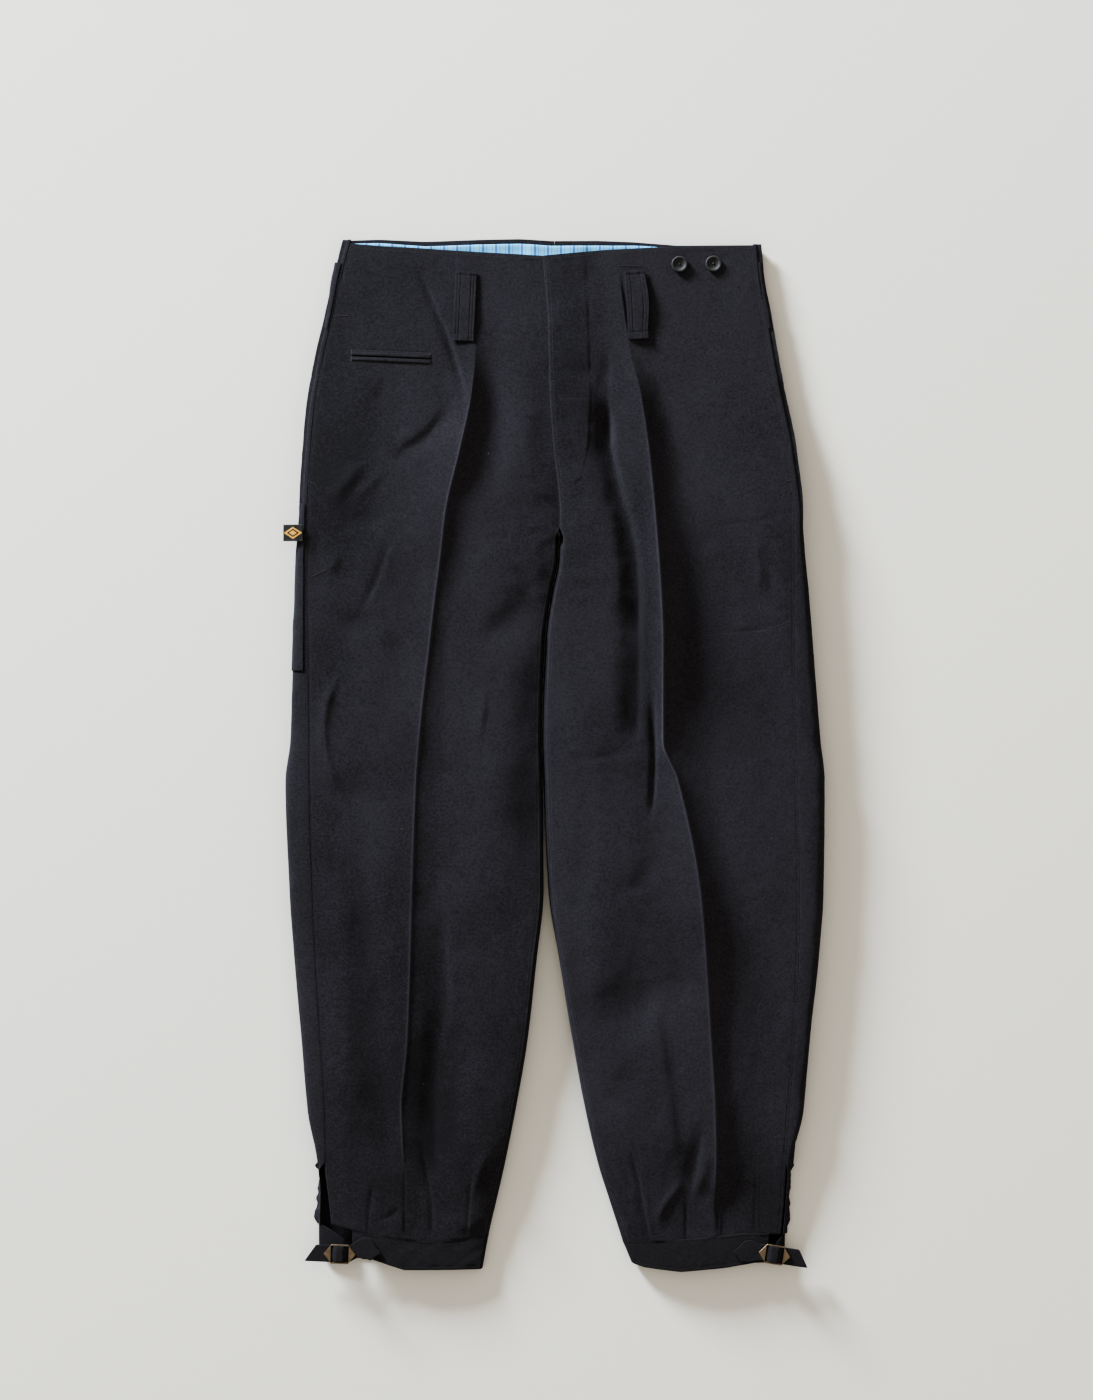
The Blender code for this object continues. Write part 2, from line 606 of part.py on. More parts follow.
def cuff_ring(leg, drop):
    """A cuff's outer face at one drop: from its front end over and round underneath to its lapped end.

    It returns places, heights, and how far the top edge dips at each place.
    """
    end = CUFF_ENDS[leg.name]
    inner = column(leg, "inner", drop)
    outer = column(leg, "outer", drop)
    front_x = front_columns(leg, np.array([drop], float))[0][end.skipped:]
    front_z = cuff_height(leg, front_x, drop)
    edge = EDGE_SHARE * front_z[-1]
    turn = quarter_turn(EDGE_TURNS)
    inner_x = np.append(
        front_x[-1] + (inner - front_x[-1]) * np.sin(turn),
        inner + leg.side * INNER_ROLL * (1 - np.cos(turn)),
    )
    inner_z = np.append(edge + (front_z[-1] - edge) * np.cos(turn), edge * (1 - np.sin(turn)))
    floor = outer - leg.side * FLOOR_ROLL
    floor_x = np.linspace(inner_x[-1], floor, FLOOR_SPANS + 1)[1:]
    side_edge = EDGE_SHARE * CUFF_EDGE
    wrap = quarter_turn(WRAP_TURNS)
    side_x = np.append(floor + leg.side * FLOOR_ROLL * np.sin(turn), wrapped(outer, end.wrap_x, wrap))
    side_z = np.append(side_edge * (1 - np.cos(turn)), wrapped(CUFF_EDGE, side_edge, math.pi / 2 - wrap))
    x = np.concatenate([front_x, inner_x, floor_x, side_x])
    z = np.concatenate([front_z, inner_z, np.zeros(FLOOR_SPANS), side_z])
    dip = np.zeros(len(x))
    dip[-WRAP_TURNS:] = wrapped(0, end.wrap_dip, wrap)
    return x, z, dip


def wrapped(start, end, turn):
    """From start to end over a quarter turn, slowly at first."""
    return start + (end - start) * (1 - np.cos(turn))


def add_cuff(leg, made_of):
    shares = np.array([0.0, 0.5, 1.0])
    rings = [cuff_ring(leg, HEM_DROP + (LENGTH - HEM_DROP) * share) for share in shares]
    x, z, dip = (np.array(values) for values in zip(*rings))
    top = edge_line(HEM_SEAM, x) + dip
    drop = top + (edge_line(HEM_EDGE, x) - top) * shares[:, None]
    outer = grid_points(x, drop, z)
    add_wall("cuff_" + leg.name, outer, TURNED_CLOTH, made_of, flip=leg.side < 0, sewn=(0, 0))


def buckle_place(spec, x, y, z):
    """Turns points in a buckle's own frame, with x along the strap, to their place in the garment."""
    turn = math.radians(spec.tilt_deg)
    placed_x = spec.x + x * math.cos(turn) - y * math.sin(turn)
    placed_y = LENGTH / 2 - spec.drop + x * math.sin(turn) + y * math.cos(turn)
    return np.stack([placed_x, placed_y, np.broadcast_to(z, placed_x.shape)], axis=-1)


def slot(low, high):
    return ((low, -BUCKLE_SLOT_Y), (high, -BUCKLE_SLOT_Y), (high, BUCKLE_SLOT_Y), (low, BUCKLE_SLOT_Y))


def add_buckle(leg, made_of):
    """A six-sided brass frame with a bar across its middle: an outline with two slots, extruded."""
    spec = BUCKLES[leg.name]

    def build(work):
        edges = []
        for loop in (BUCKLE_OUTLINE, slot(-BUCKLE_SLOT_X, -BUCKLE_BAR), slot(BUCKLE_BAR, BUCKLE_SLOT_X)):
            x, y = np.array(loop, float).T
            verts = [work.verts.new(p) for p in buckle_place(spec, x, y, spec.z - BUCKLE_THICK / 2)]
            edges += [work.edges.new((a, b)) for a, b in zip(verts, verts[1:] + verts[:1])]
        bmesh.ops.triangle_fill(work, edges=edges, use_beauty=True)
        raised = bmesh.ops.extrude_face_region(work, geom=work.faces[:])
        moved = [v for v in raised["geom"] if isinstance(v, bmesh.types.BMVert)]
        bmesh.ops.translate(work, verts=moved, vec=(0, 0, BUCKLE_THICK))

    add_solid("buckle_" + leg.name, build, made_of, smooth=False)


def strap_height(spec, along):
    """Height of a strap's underside along it: under the frame, over the bar and under again."""
    under = spec.z - BUCKLE_THICK / 2 - GAP - TURNED_CLOTH
    over = spec.z + BUCKLE_THICK / 2 + GAP
    hump = 1 - smooth_step(np.abs(along), BUCKLE_BAR + 1.2, BUCKLE_SLOT_X - 0.9)
    return under + (over - under) * hump


def add_strap(leg, made_of):
    """A cinch strap: a pointed tab on the cuff's front, threaded through the buckle to a slanted end."""
    spec = BUCKLES[leg.name]
    inner_side = np.array(STRAP_STATIONS, float)
    along = np.concatenate([inner_side, -inner_side[-2:4:-1], [-22.0, -STRAP_TAIL]])
    half = STRAP_WIDTH / 2 + (TAB_WIDTH - STRAP_WIDTH) / 2 * smooth_step(along, TAB_START, TAB_START + 8)
    half = half * (1 - 0.86 * smooth_step(along, 30, TAB_TIP))
    edge = np.linspace(-1, 1, 4)[None, :]
    slant = np.zeros((len(along), 1))
    slant[-1] = TAIL_SLANT
    x = -leg.side * (along[:, None] + slant * edge)
    y = edge * half[:, None] + np.interp(along, spec.bend_at, spec.bend)[:, None]
    placed = buckle_place(spec, x, y, strap_height(spec, along)[:, None])
    cuff = cuff_height(leg, placed[..., 0], LENGTH / 2 - placed[..., 1])
    lowest = cuff.max(axis=1, keepdims=True) + GAP + CLEAR
    seated = smooth_step(along, 12, 26)[:, None]
    placed[..., 2] = np.maximum(placed[..., 2] * (1 - seated) + lowest * seated, lowest)
    add_layer("strap_" + leg.name, placed + np.array([0, 0, TURNED_CLOTH]), placed, made_of)


def add_button(name, x, drop, made_of):
    """A sunk button with four holes, turned from half of its section, seated on the cloth under its foot."""
    foot = BUTTON_PROFILE[-2].radius
    turns = np.linspace(0, 2 * math.pi, BUTTON_STEPS)
    seat = front_height(LEFT, x + foot * np.cos(turns), drop + foot * np.sin(turns)).max()
    place = np.array([x, LENGTH / 2 - drop, seat + GAP])

    def build(work):
        verts = [work.verts.new((point.radius, 0, point.height)) for point in BUTTON_PROFILE]
        edges = [work.edges.new(pair) for pair in zip(verts, verts[1:])]
        bmesh.ops.spin(
            work, geom=verts + edges, axis=(0, 0, 1), cent=(0, 0, 0), angle=2 * math.pi,
            steps=BUTTON_STEPS, use_merge=True,
        )
        bmesh.ops.remove_doubles(work, verts=work.verts, dist=MM)
        bmesh.ops.translate(work, verts=work.verts, vec=place)

    solid = add_solid(name, build, made_of)
    for turn in range(4):
        angle = math.pi / 4 + turn * math.pi / 2
        centre = place + HOLE_PLACE * np.array([math.cos(angle), math.sin(angle), 0])
        cut = solid.modifiers.new("hole", "BOOLEAN")
        cut.operation = "DIFFERENCE"
        cut.object = add_drill(f"{name}_drill_{turn}", centre, made_of)


def add_drill(name, centre, made_of):
    def build(work):
        bmesh.ops.create_cone(
            work, cap_ends=True, segments=HOLE_STEPS, radius1=HOLE_RADIUS, radius2=HOLE_RADIUS,
            depth=HOLE_DEPTH,
        )
        bmesh.ops.translate(work, verts=work.verts, vec=centre)

    drill = add_solid(name, build, made_of)
    drill.hide_render = True
    drill.display_type = "WIRE"
    return drill


def main():
    for old in list(bpy.data.objects):
        bpy.data.objects.remove(old, do_unlink=True)
    cloth = material("black_cotton", BLACK, 0.9)
    stripe = material("striped_facing", BLUE, 0.8)
    brass = material("aged_brass", BRASS, 0.4, 1.0)
    horn = material("horn", HORN, 0.35)
    for leg in (RIGHT, LEFT):
        add_back(leg, cloth)
        add_front(leg, cloth)
        add_side_loop(leg, cloth)
        add_cuff(leg, cloth)
        add_strap(leg, cloth)
        add_buckle(leg, brass)
    add_facing(stripe)
    add_loop(RIGHT, Strip(-88, 32, -91, 101, LOOP_WIDTH), cloth)
    add_loop(LEFT, Strip(78, 31, 83, 99, LOOP_WIDTH - 1), cloth)
    add_lip("pocket_lip_upper", Strip(-202, 113, -124, 117, 3.8), cloth)
    add_lip("pocket_lip_lower", Strip(-202, 118, -124, 122, 3.8), cloth)
    add_tool_pocket(cloth)
    add_label(cloth)
    add_button("brace_button_inner", 125.0, 24.0, horn)
    add_button("brace_button_outer", 159.0, 23.5, horn)


main()
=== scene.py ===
import math

import bmesh
import bpy
import numpy as np
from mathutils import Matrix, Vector


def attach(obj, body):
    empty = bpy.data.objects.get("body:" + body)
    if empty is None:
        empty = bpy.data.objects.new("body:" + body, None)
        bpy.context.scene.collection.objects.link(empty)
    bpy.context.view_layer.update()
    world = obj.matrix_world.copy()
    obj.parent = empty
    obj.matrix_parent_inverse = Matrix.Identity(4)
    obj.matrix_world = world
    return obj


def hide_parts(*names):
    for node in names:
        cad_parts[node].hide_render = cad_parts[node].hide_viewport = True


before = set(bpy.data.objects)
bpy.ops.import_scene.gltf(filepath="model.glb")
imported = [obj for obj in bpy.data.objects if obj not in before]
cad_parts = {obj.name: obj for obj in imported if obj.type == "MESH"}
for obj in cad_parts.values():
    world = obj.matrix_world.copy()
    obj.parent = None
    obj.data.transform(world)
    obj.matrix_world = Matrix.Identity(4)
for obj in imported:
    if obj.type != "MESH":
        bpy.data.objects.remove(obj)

# The cloth is drawn in millimetres from the same places as the solids: x across, drop down from the waist, z up.
millimetre = 0.001
halfLength = 515.0
hemDrop = 995.0
napSoftness = 0.38
seamGap = 0.3
clothThickness = 1.4
edgeShare = 0.45
floorRoll = 8.0
innerRoll = 6.0
inseamInset = 4.0
creasePower = 1.7
crotchDrop = 300.0
flyEndDrop = 252.0
flyLap = 12.0


def writeSize():
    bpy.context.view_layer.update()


writeSize()

# One row for each cross-section of a leg: its drop, places across from the outer edge, then heights at those places.
sectionNames = (
    "drop", "outer", "seam", "foot", "ridge", "valley", "shoulder", "inner",
    "zSeam", "zFoot", "zRidge", "zValley", "zShoulder", "zInner",
)
rightSections = np.array((
    (0, -208, -204, -134, -97, -79, -44, -11, 9, 12, 12.5, 12, 12, 12),
    (30, -217, -212, -132, -95, -75, -43, -9, 10, 13, 14, 13, 13, 13),
    (75, -227, -222, -122, -88, -68, -42, -6, 11, 15, 16, 14, 15, 14),
    (110, -235, -230, -113, -79, -61, -38, -5, 12, 17, 19, 16, 17, 16),
    (150, -243, -238, -114, -82, -61, -34, -4, 15, 19, 26, 17, 20, 18),
    (210, -250, -244, -132, -94, -66, -36, 0, 18, 21, 30, 20, 23, 19),
    (270, -254, -247, -150, -108, -88, -48, 5, 20, 23, 29, 25, 26, 18),
    (320, -258, -247, -158, -114, -96, -50, 3, 21, 24, 28, 25, 26, 18),
    (350, -259, -247, -163, -118, -100, -53, -3, 21, 24, 28, 25, 26, 18),
    (400, -261, -246, -170, -124, -105, -60, -10, 21, 24, 28, 25, 26, 18),
    (500, -264, -245, -185, -135, -113, -64, -13, 21, 25, 27, 24, 26, 18),
    (540, -269, -245, -190, -138, -114, -64, -12, 21, 25, 26, 23, 26, 18),
    (650, -265, -242, -200, -142, -114, -67, -11, 21, 25, 25, 22, 25, 18),
    (720, -260, -239, -204, -144, -114, -70, -18, 20, 24, 24, 20, 24, 18),
    (800, -253, -234, -206, -147, -114, -74, -27, 19, 23, 22, 18, 23, 17),
    (870, -247, -230, -205, -153, -119, -77, -39, 17, 21, 21, 16, 21, 15),
    (925, -237, -229, -202, -151, -123, -82, -50, 14, 18, 18, 14, 19, 13),
    (960, -235, -226, -198, -151, -124, -86, -58, 11, 15, 16, 14, 16, 11),
    (995, -236, -223, -187, -154, -124, -87, -66, 9, 14, 16, 14, 15, 9),
    (1030, -236, -221, -187, -155, -124, -90, -72, 9, 14, 15, 14, 14, 9),
), float)
leftSections = np.array((
    (0, 203, 199, 96, 63, 49, 20, -11, 9, 12, 13, 13, 14, 14),
    (30, 206, 202, 96, 65, 50, 21, -9, 10, 12, 14, 14, 15, 15),
    (75, 213, 209, 96, 70, 51, 24, -6, 11, 13, 17, 15, 16, 16),
    (110, 219, 215, 98, 75, 51, 26, -5, 12, 15, 20, 17, 17, 17),
    (150, 227, 223, 106, 85, 52, 28, -4, 15, 16, 25, 18, 18, 18),
    (210, 239, 234, 122, 94, 53, 30, 0, 18, 18, 30, 20, 21, 19),
    (270, 247, 240, 132, 100, 64, 36, 6, 21, 20, 34, 23, 24, 19),
    (320, 251, 240, 138, 104, 75, 40, 4, 22, 20, 35, 24, 24, 19),
    (350, 254, 240, 141, 106, 77, 40, -2, 22, 20, 35, 24, 24, 19),
    (400, 258, 240, 146, 108, 80, 40, -9, 22, 21, 36, 25, 26, 19),
    (500, 266, 242, 157, 108, 97, 46, -12, 22, 22, 34, 25, 28, 19),
    (540, 270, 243, 158, 123, 99, 46, -11, 23, 22, 33, 25, 28, 19),
    (650, 269, 245, 178, 145, 102, 50, -6, 22, 22, 35, 28, 29, 18),
    (720, 264, 244, 177, 151, 107, 56, 5, 21, 21, 31, 27, 28, 18),
    (800, 255, 240, 175, 156, 113, 65, 18, 20, 20, 27, 24, 25, 17),
    (870, 249, 235, 183, 160, 117, 70, 31, 18, 18, 25, 21, 23, 16),
    (925, 236, 231, 184, 161, 134, 84, 44, 15, 16, 23, 18, 20, 13),
    (960, 233, 229, 176, 160, 133, 90, 56, 12, 14, 19, 16, 17, 11),
    (995, 231, 226, 167, 164, 132, 95, 68, 9, 14, 16, 14, 15, 9),
    (1030, 230, 224, 167, 163, 132, 97, 77, 9, 14, 15, 14, 14, 9),
), float)

# Edge lines as (x, drop).
waistFront = ((-205, 3.2), (-176, 6), (-98, 11), (-11, 16.2), (50, 10.5), (105, 7.5), (202, 5))
waistBack = (
    (-208, -0.5), (-175, -1.5), (-130, 0.7), (-75, -1.3), (-34, -2.1),
    (-3, -0.1), (45, -0.3), (80, 1.1), (123, 4.5), (203, 4),
)
hemSeam = (
    (-223, 984), (-182, 994), (-125, 1001), (-66, 995),
    (69, 1001), (133, 999), (190, 993), (226, 994),
)
hemEdge = (
    (-230, 1014), (-184, 1017), (-150, 1028), (-74, 1028),
    (77, 1022), (90, 1026), (126, 1030), (169, 1026), (200, 1021), (230, 1021),
)

# Folds as (height, width before the line, width beyond it, line of x and drop). A trough has a negative height.
# One marked toHem keeps its full depth down to the hem.
rightFolds = (
    (-3.8, 6, 2.2, ((-138, 24), (-118, 70), (-107, 96), (-98, 124), (-90, 152), (-84, 172))),
    (-0.7, 2, 1.2, ((-100, 4), (-99, 20), (-98, 36))),
    (-2.6, 6, 10, ((-104, 149), (-108, 174), (-126, 196), (-152, 213), (-172, 230))),
    (1.8, 6, 6, ((-166, 226), (-188, 249), (-200, 264))),
    (2.2, 7, 7, ((-182, 213), (-212, 246), (-227, 268))),
    (-1.6, 5, 5, ((-170, 133), (-172, 150), (-175, 172))),
    (-1.2, 5, 5, ((-155, 138), (-158, 160))),
    (-1.6, 9, 9, ((-222, 258), (-204, 282), (-178, 278), (-158, 264))),
    (-1.6, 6, 2.4, ((-156, 282), (-163, 300), (-169, 318), (-178, 343), (-191, 370), (-198, 386))),
    (-1.2, 6, 4, ((-235, 283), (-235, 331))),
    (1.8, 5, 5, ((-214, 308), (-220, 324), (-230, 338))),
    (-2.2, 12, 10, ((-222, 378), (-198, 384), (-176, 374))),
    (-2.6, 12, 8, ((-170, 385), (-152, 410), (-134, 440))),
    (2.2, 6, 4, ((-206, 425), (-218, 440), (-227, 462), (-230, 484), (-229, 506), (-222, 530), (-212, 552))),
    (1.3, 6, 3, ((-69, 440), (-71, 470), (-78, 512))),
    (-3.0, 24, 13, ((-84, 412), (-44, 380), (-14, 344))),
    (-1.2, 14, 14, ((-22, 400), (-24, 480), (-26, 580), (-34, 660))),
    (-5.0, 26, 16, ((-204, 520), (-194, 600), (-184, 700), (-176, 790), (-170, 870), (-164, 944))),
    (-2.8, 14, 6, ((-112, 660), (-110, 720), (-110, 770), (-119, 810), (-123, 860), (-121, 912), (-117, 946))),
    (-2.4, 14, 12, ((-92, 775), (-86, 810), (-88, 850))),
    (-1.0, 2.4, 1.2, ((-178, 930), (-183, 955), (-186.5, 990)), "toHem"),
    (-1.5, 2.2, 2.2, ((-182, 980), (-165, 975), (-148, 962))),
    (-1.0, 1.8, 1.4, ((-151, 900), (-150, 950), (-149.5, 990)), "toHem"),
    (-1.5, 4, 1.3, ((-134, 895), (-128, 930), (-122, 960), (-121.5, 990)), "toHem"),
    (-1.0, 3, 1.3, ((-79, 918), (-84, 950), (-87, 990)), "toHem"),
    (-1.6, 5, 5, ((-116, 955), (-104, 972), (-90, 976))),
    (1.6, 6, 6, ((-64, 905), (-76, 930), (-82, 962))),
)
leftFolds = (
    (-1.0, 2.5, 6, ((-2, 523), (44, 518), (72, 511), (96, 504), (108, 503))),
    (-2.0, 12, 4, ((53, 100), (52, 160), (54, 208), (62, 245), (68, 268))),
    (-8.5, 15, 5, ((53, 150), (54, 205), (64, 250), (75, 285), (80, 310), (82.5, 345), (82.5, 404))),
    (-6.2, 16, 5, ((82.5, 352), (82.5, 400), (82, 450), (80, 500), (76, 520))),
    (1.6, 12, 9, ((46, 200), (54, 250), (60, 300), (62, 350), (60, 392))),
    (-1.8, 1.4, 1.8, ((66, 30), (70, 60), (75, 98))),
    (-3.4, 4.5, 2.6, ((97, 440), (99, 480), (100, 512), (98, 556), (95, 590))),
    (-1.6, 12, 8, ((106, 600), (92, 640), (62, 652), (40, 656))),
    (-1.8, 13, 9, ((22, 505), (34, 560), (34, 610), (22, 665), (26, 715), (24, 762))),
    (-5.0, 26, 34, ((44, 812), (66, 776), (104, 752), (160, 738))),
    (2.6, 16, 7, ((98, 750), (102, 790), (108, 830), (114, 866), (119, 925))),
    (-2.2, 14, 14, ((40, 880), (66, 850), (86, 820))),
    (-0.8, 2.2, 2.2, ((150, 285), (200, 282), (241, 273))),
    (-0.8, 2.2, 2.2, ((150, 395), (200, 390), (242, 378))),
    (1.4, 4, 4, ((200, 285), (204, 330), (204, 368))),
    (-1.2, 4, 4, ((214, 290), (216, 330), (216, 370))),
    (-2.4, 6, 1.6, ((76, 905), (84, 938), (89, 965), (95, 1000)), "toHem"),
    (-1.1, 2, 1.3, ((130, 942), (131.5, 970), (131.5, 1000)), "toHem"),
    (-3.0, 9, 4, ((150, 878), (142, 908), (137, 935), (132, 965))),
    (2.2, 5, 4, ((96, 990), (108, 966), (124, 942), (132, 932))),
    (2.2, 4, 6, ((153, 900), (148, 930), (138, 965))),
    (-1.6, 2, 1.3, ((160, 950), (163, 980), (164, 1000)), "toHem"),
    (-0.7, 2, 1.2, ((201, 912), (201, 950), (200, 990)), "toHem"),
    (-1.8, 4, 4, ((60, 905), (72, 930), (80, 962))),
)


def legOf(name, side, sections, folds, seed):
    return {"name": name, "side": side, "sections": sections, "folds": folds, "seed": seed}


rightLeg = legOf("right", -1, rightSections, rightFolds, 3)
leftLeg = legOf("left", 1, leftSections, leftFolds, 8)


def evenly(t):
    return t * t * (3 - 2 * t)


def smoothStep(value, low, high):
    # 0 below low and 1 above high, with an even S between them: 3 t squared less 2 t cubed.
    return evenly(np.clip((value - low) / (high - low), 0, 1))


def bell(distance, width):
    # 1 at the middle, falling as e to the minus square of distance over width.
    return np.exp(-((distance / width) ** 2))


def plateau(value, rise, fall):
    # Goes from 0 to 1 over the first pair and back to 0 over the second.
    return smoothStep(value, *rise) * (1 - smoothStep(value, *fall))


def unit(vectors):
    return vectors / np.maximum(np.linalg.norm(vectors, axis=-1, keepdims=True), 1e-9)


def smoothThrough(knots, values, at):
    # A cubic through the rows whose slopes are harmonic means, so it never swings past them.
    step = np.diff(knots)
    rise = np.diff(values) / step
    both = rise[:-1] + rise[1:]
    level = rise[:-1] * rise[1:] <= 0
    slope = np.zeros(len(knots))
    slope[1:-1] = np.where(level, 0, 2 * rise[:-1] * rise[1:] / np.where(level, 1, both))
    slope[0], slope[-1] = rise[0], rise[-1]
    row = np.clip(np.searchsorted(knots, at, side="right") - 1, 0, len(step) - 1)
    t = (at - knots[row]) / step[row]
    return (
        values[row] * (1 + 2 * t) * (1 - t) ** 2 + values[row + 1] * t * t * (3 - 2 * t)
        + step[row] * (slope[row] * t * (1 - t) ** 2 - slope[row + 1] * t * t * (1 - t))
    )


def column(leg, name, drop):
    # One named column of a leg's section table, smoothly through its rows.
    table = leg["sections"]
    return smoothThrough(table[:, 0], table[:, sectionNames.index(name)], np.asarray(drop, float))


def edgeLine(points, x):
    # The drop of an edge at x, straight between its points.
    return np.interp(x, [p[0] for p in points], [p[1] for p in points])


def ripple(x, y, seed, size, count=12):
    # A sum of sine waves in random directions, each with a sine bend in its phase, about 1 high.
    dice = np.random.default_rng(seed)
    total = np.zeros(np.broadcast(x, y).shape)
    for _ in range(count):
        angle, turn, phase, other = dice.uniform(0, 2 * math.pi, 4)
        length = size * dice.uniform(0.6, 1.8)
        crosswise, lengthwise = x * math.sin(turn) - y * math.cos(turn), x * math.cos(angle) + y * math.sin(angle)
        bend = 1.4 * np.sin(2 * math.pi * crosswise / (2.3 * length) + other)
        total += np.sin(2 * math.pi * lengthwise / length + phase + bend)
    return total / math.sqrt(count)


# Small waves in the cloth: height, how much of x and of the drop they follow, seed, size and number of waves.
waves = {
    "pucker": (1.0, 0.2, 1, 1, 9, 8),
    "broad": (1.3, 1, 0.5, 2, 95, 14),
    "middle": (0.22, 1, 0.7, 3, 32, 16),
    "fine": (0.07, 1, 0.8, 6, 12, 18),
    "gather": (0.3, 1, 0.15, 4, 20, 10),
    "crotch": (0.45, 0.5, 1, 5, 20, 10),
    "fly": (0.3, 0.4, 1, 77, 24, 8),
    "backDent": (0.35, 1, 0.5, 9, 38, 12),
    "backCrease": (0.15, 1, 1, 10, 12, 10),
    "cuffPucker": (1.0, 1, 0.3, 20, 9, 8),
    "cuff": (0.25, 1, 1, 21, 22, 10),
    "strap": (0.16, 1, 1, 30, 11, 9),
    "loop": (0.14, 1, 1, 40, 13, 9),
    "sideLoop": (0.4, 1, 0, 50, 30, 5),
    "toolPocket": (0.25, 0.6, 1, 61, 30, 8),
    "lip": (0.1, 1, 1, 71, 9, 8),
    "label": (0.12, 1, 1, 81, 12, 6),
    "facing": (0.3, 1, 0.3, 91, 24, 10),
}


def wave(name, x, y, leg=None):
    # The named ripple. The two legs have seeds of their own.
    height, shareX, shareY, seed, size, count = waves[name]
    return height * ripple(x * shareX, y * shareY, seed + (leg["seed"] if leg else 0), size, count)


foldFade = {"share": 0.45, "most": 42}  # How far in from its ends a fold is full.


def foldHeight(fold, x, drop):
    # Height times a bell across the fold's line, with a width on each side, faded out at its ends.
    height, before, beyond, line, *toHem = fold
    line = np.array(line, float)
    lengths = np.hypot(*np.diff(line, axis=0).T)
    total = lengths.sum()
    best = np.full(x.shape, np.inf)
    across, along = np.zeros(x.shape), np.zeros(x.shape)
    passed = 0.0
    for start, end, length in zip(line, line[1:], lengths):
        heading = (end - start) / length
        t = np.clip((x - start[0]) * heading[0] + (drop - start[1]) * heading[1], 0, length)
        offX, offY = x - start[0] - t * heading[0], drop - start[1] - t * heading[1]
        far = np.hypot(offX, offY)
        near = far < best
        best = np.where(near, far, best)
        across = np.where(near, offX * heading[1] - offY * heading[0], across)
        along = np.where(near, passed + t, along)
        passed += length
    reach = min(foldFade["share"] * total, foldFade["most"])
    fade = smoothStep(along, 0, reach)
    if not toHem:
        fade = fade * smoothStep(total - along, 0, reach)
    return height * fade * bell(best, np.where(across < 0, before, beyond))


# How the height goes from each place of a section to the next.
spans = (
    ("seam", "foot", evenly),
    ("foot", "ridge", lambda t: t ** creasePower),
    ("ridge", "valley", lambda t: 1 - (1 - t) ** creasePower),
    ("valley", "shoulder", evenly),
    ("shoulder", "inner", lambda t: t * t),
)


def frontHeight(leg, x, drop):
    # The section's own height at x, span by span, plus every fold.
    height = column(leg, "zSeam", drop)
    for start, end, shape in spans:
        first = column(leg, start, drop)
        share = np.clip((x - first) / (column(leg, end, drop) - first), 0, 1)
        change = column(leg, "z" + end.title(), drop) - column(leg, "z" + start.title(), drop)
        height = height + change * shape(share)
    for fold in leg["folds"]:
        height = height + foldHeight(fold, x, drop)
    return height


def crotchTurn(drop):
    # 0 above the crotch, 1 below it.
    return smoothStep(drop, crotchDrop - 14, crotchDrop - 2)


def inseam(leg, drop):
    # The front's inner edge, which stands in from the outline below the crotch.
    return column(leg, "inner", drop) + leg["side"] * inseamInset * crotchTurn(drop)


def slanted(drop, x, waistLine):
    # Rows follow the waist edge at the top and the hem seam at the bottom.
    atWaist = 1 - smoothStep(drop, 0, 80)
    atHem = smoothStep(drop, hemDrop - 80, hemDrop)
    return drop + edgeLine(waistLine, x) * atWaist + (edgeLine(hemSeam, x) - hemDrop - seamGap) * atHem


def gridPoints(x, drop, z):
    # Places in the shared frame, with the drop measured down from the waist.
    return np.stack(np.broadcast_arrays(x, halfLength - drop, z), axis=-1)


def gridNormals(points, flip):
    # At right angles to the steps along the rows and along the columns.
    normal = unit(np.cross(np.gradient(points, axis=0), np.gradient(points, axis=1)))
    return -normal if flip else normal


# Degrees round the turn, shares of the depth, and the row inside each end that tells the way out.
turnedEdge = {"angles": (40, 80, 120, 160, 180), "strip": (0.4, 1.0), "inside": (5, -6)}
turnedRows = len(turnedEdge["angles"]) + len(turnedEdge["strip"])


def turnUnder(points, flip, end, radius, depth, marks, spare=(0, 0)):
    # Rows added past one end of the grid: a half round edge, then a strip turned back underneath.
    # The spare columns at each side are themselves turned under, and follow the nearest whole column.
    edge, inside = points[-end], turnedEdge["inside"][end]
    follow = np.clip(np.arange(len(edge)), spare[0], len(edge) - 1 - spare[1])
    up = gridNormals(points, flip)[inside][follow]
    out = unit(edge - points[inside])[follow]
    rows = [edge + radius * (np.sin(turn) * out - (1 - np.cos(turn)) * up) for turn in np.radians(turnedEdge["angles"])]
    rows += [edge - back * depth * out - 2 * radius * up for back in turnedEdge["strip"]]
    edgeMarks = [marks[-end]] * turnedRows
    if end == 0:
        return np.concatenate([rows[::-1], points]), np.concatenate([edgeMarks, marks])
    return np.concatenate([points, rows]), np.concatenate([marks, edgeMarks])


def turnSide(points, flip, end, radius, depth, marks):
    # The same for a side, with rows and columns changed over.
    turned, marks = turnUnder(points.transpose(1, 0, 2), not flip, end, radius, depth, marks.transpose(1, 0, 2))
    return turned.transpose(1, 0, 2), marks.transpose(1, 0, 2)


def linked(name, data):
    made = bpy.data.objects.new(name, data)
    bpy.context.scene.collection.objects.link(made)
    return made


def meshObject(name, points, faces, material):
    # Points in millimetres, and faces that all have the same number of sides.
    mesh = bpy.data.meshes.new(name)
    mesh.vertices.add(len(points))
    mesh.vertices.foreach_set("co", (points * millimetre).astype(np.float32).ravel())
    mesh.loops.add(faces.size)
    mesh.loops.foreach_set("vertex_index", faces.astype(np.int32).ravel())
    mesh.polygons.add(len(faces))
    mesh.polygons.foreach_set("loop_start", np.arange(0, faces.size, faces.shape[1], dtype=np.int32))
    mesh.polygons.foreach_set("use_smooth", np.ones(len(faces), bool))
    mesh.update(calc_edges=True)
    mesh.materials.append(material)
    return linked(name, mesh)


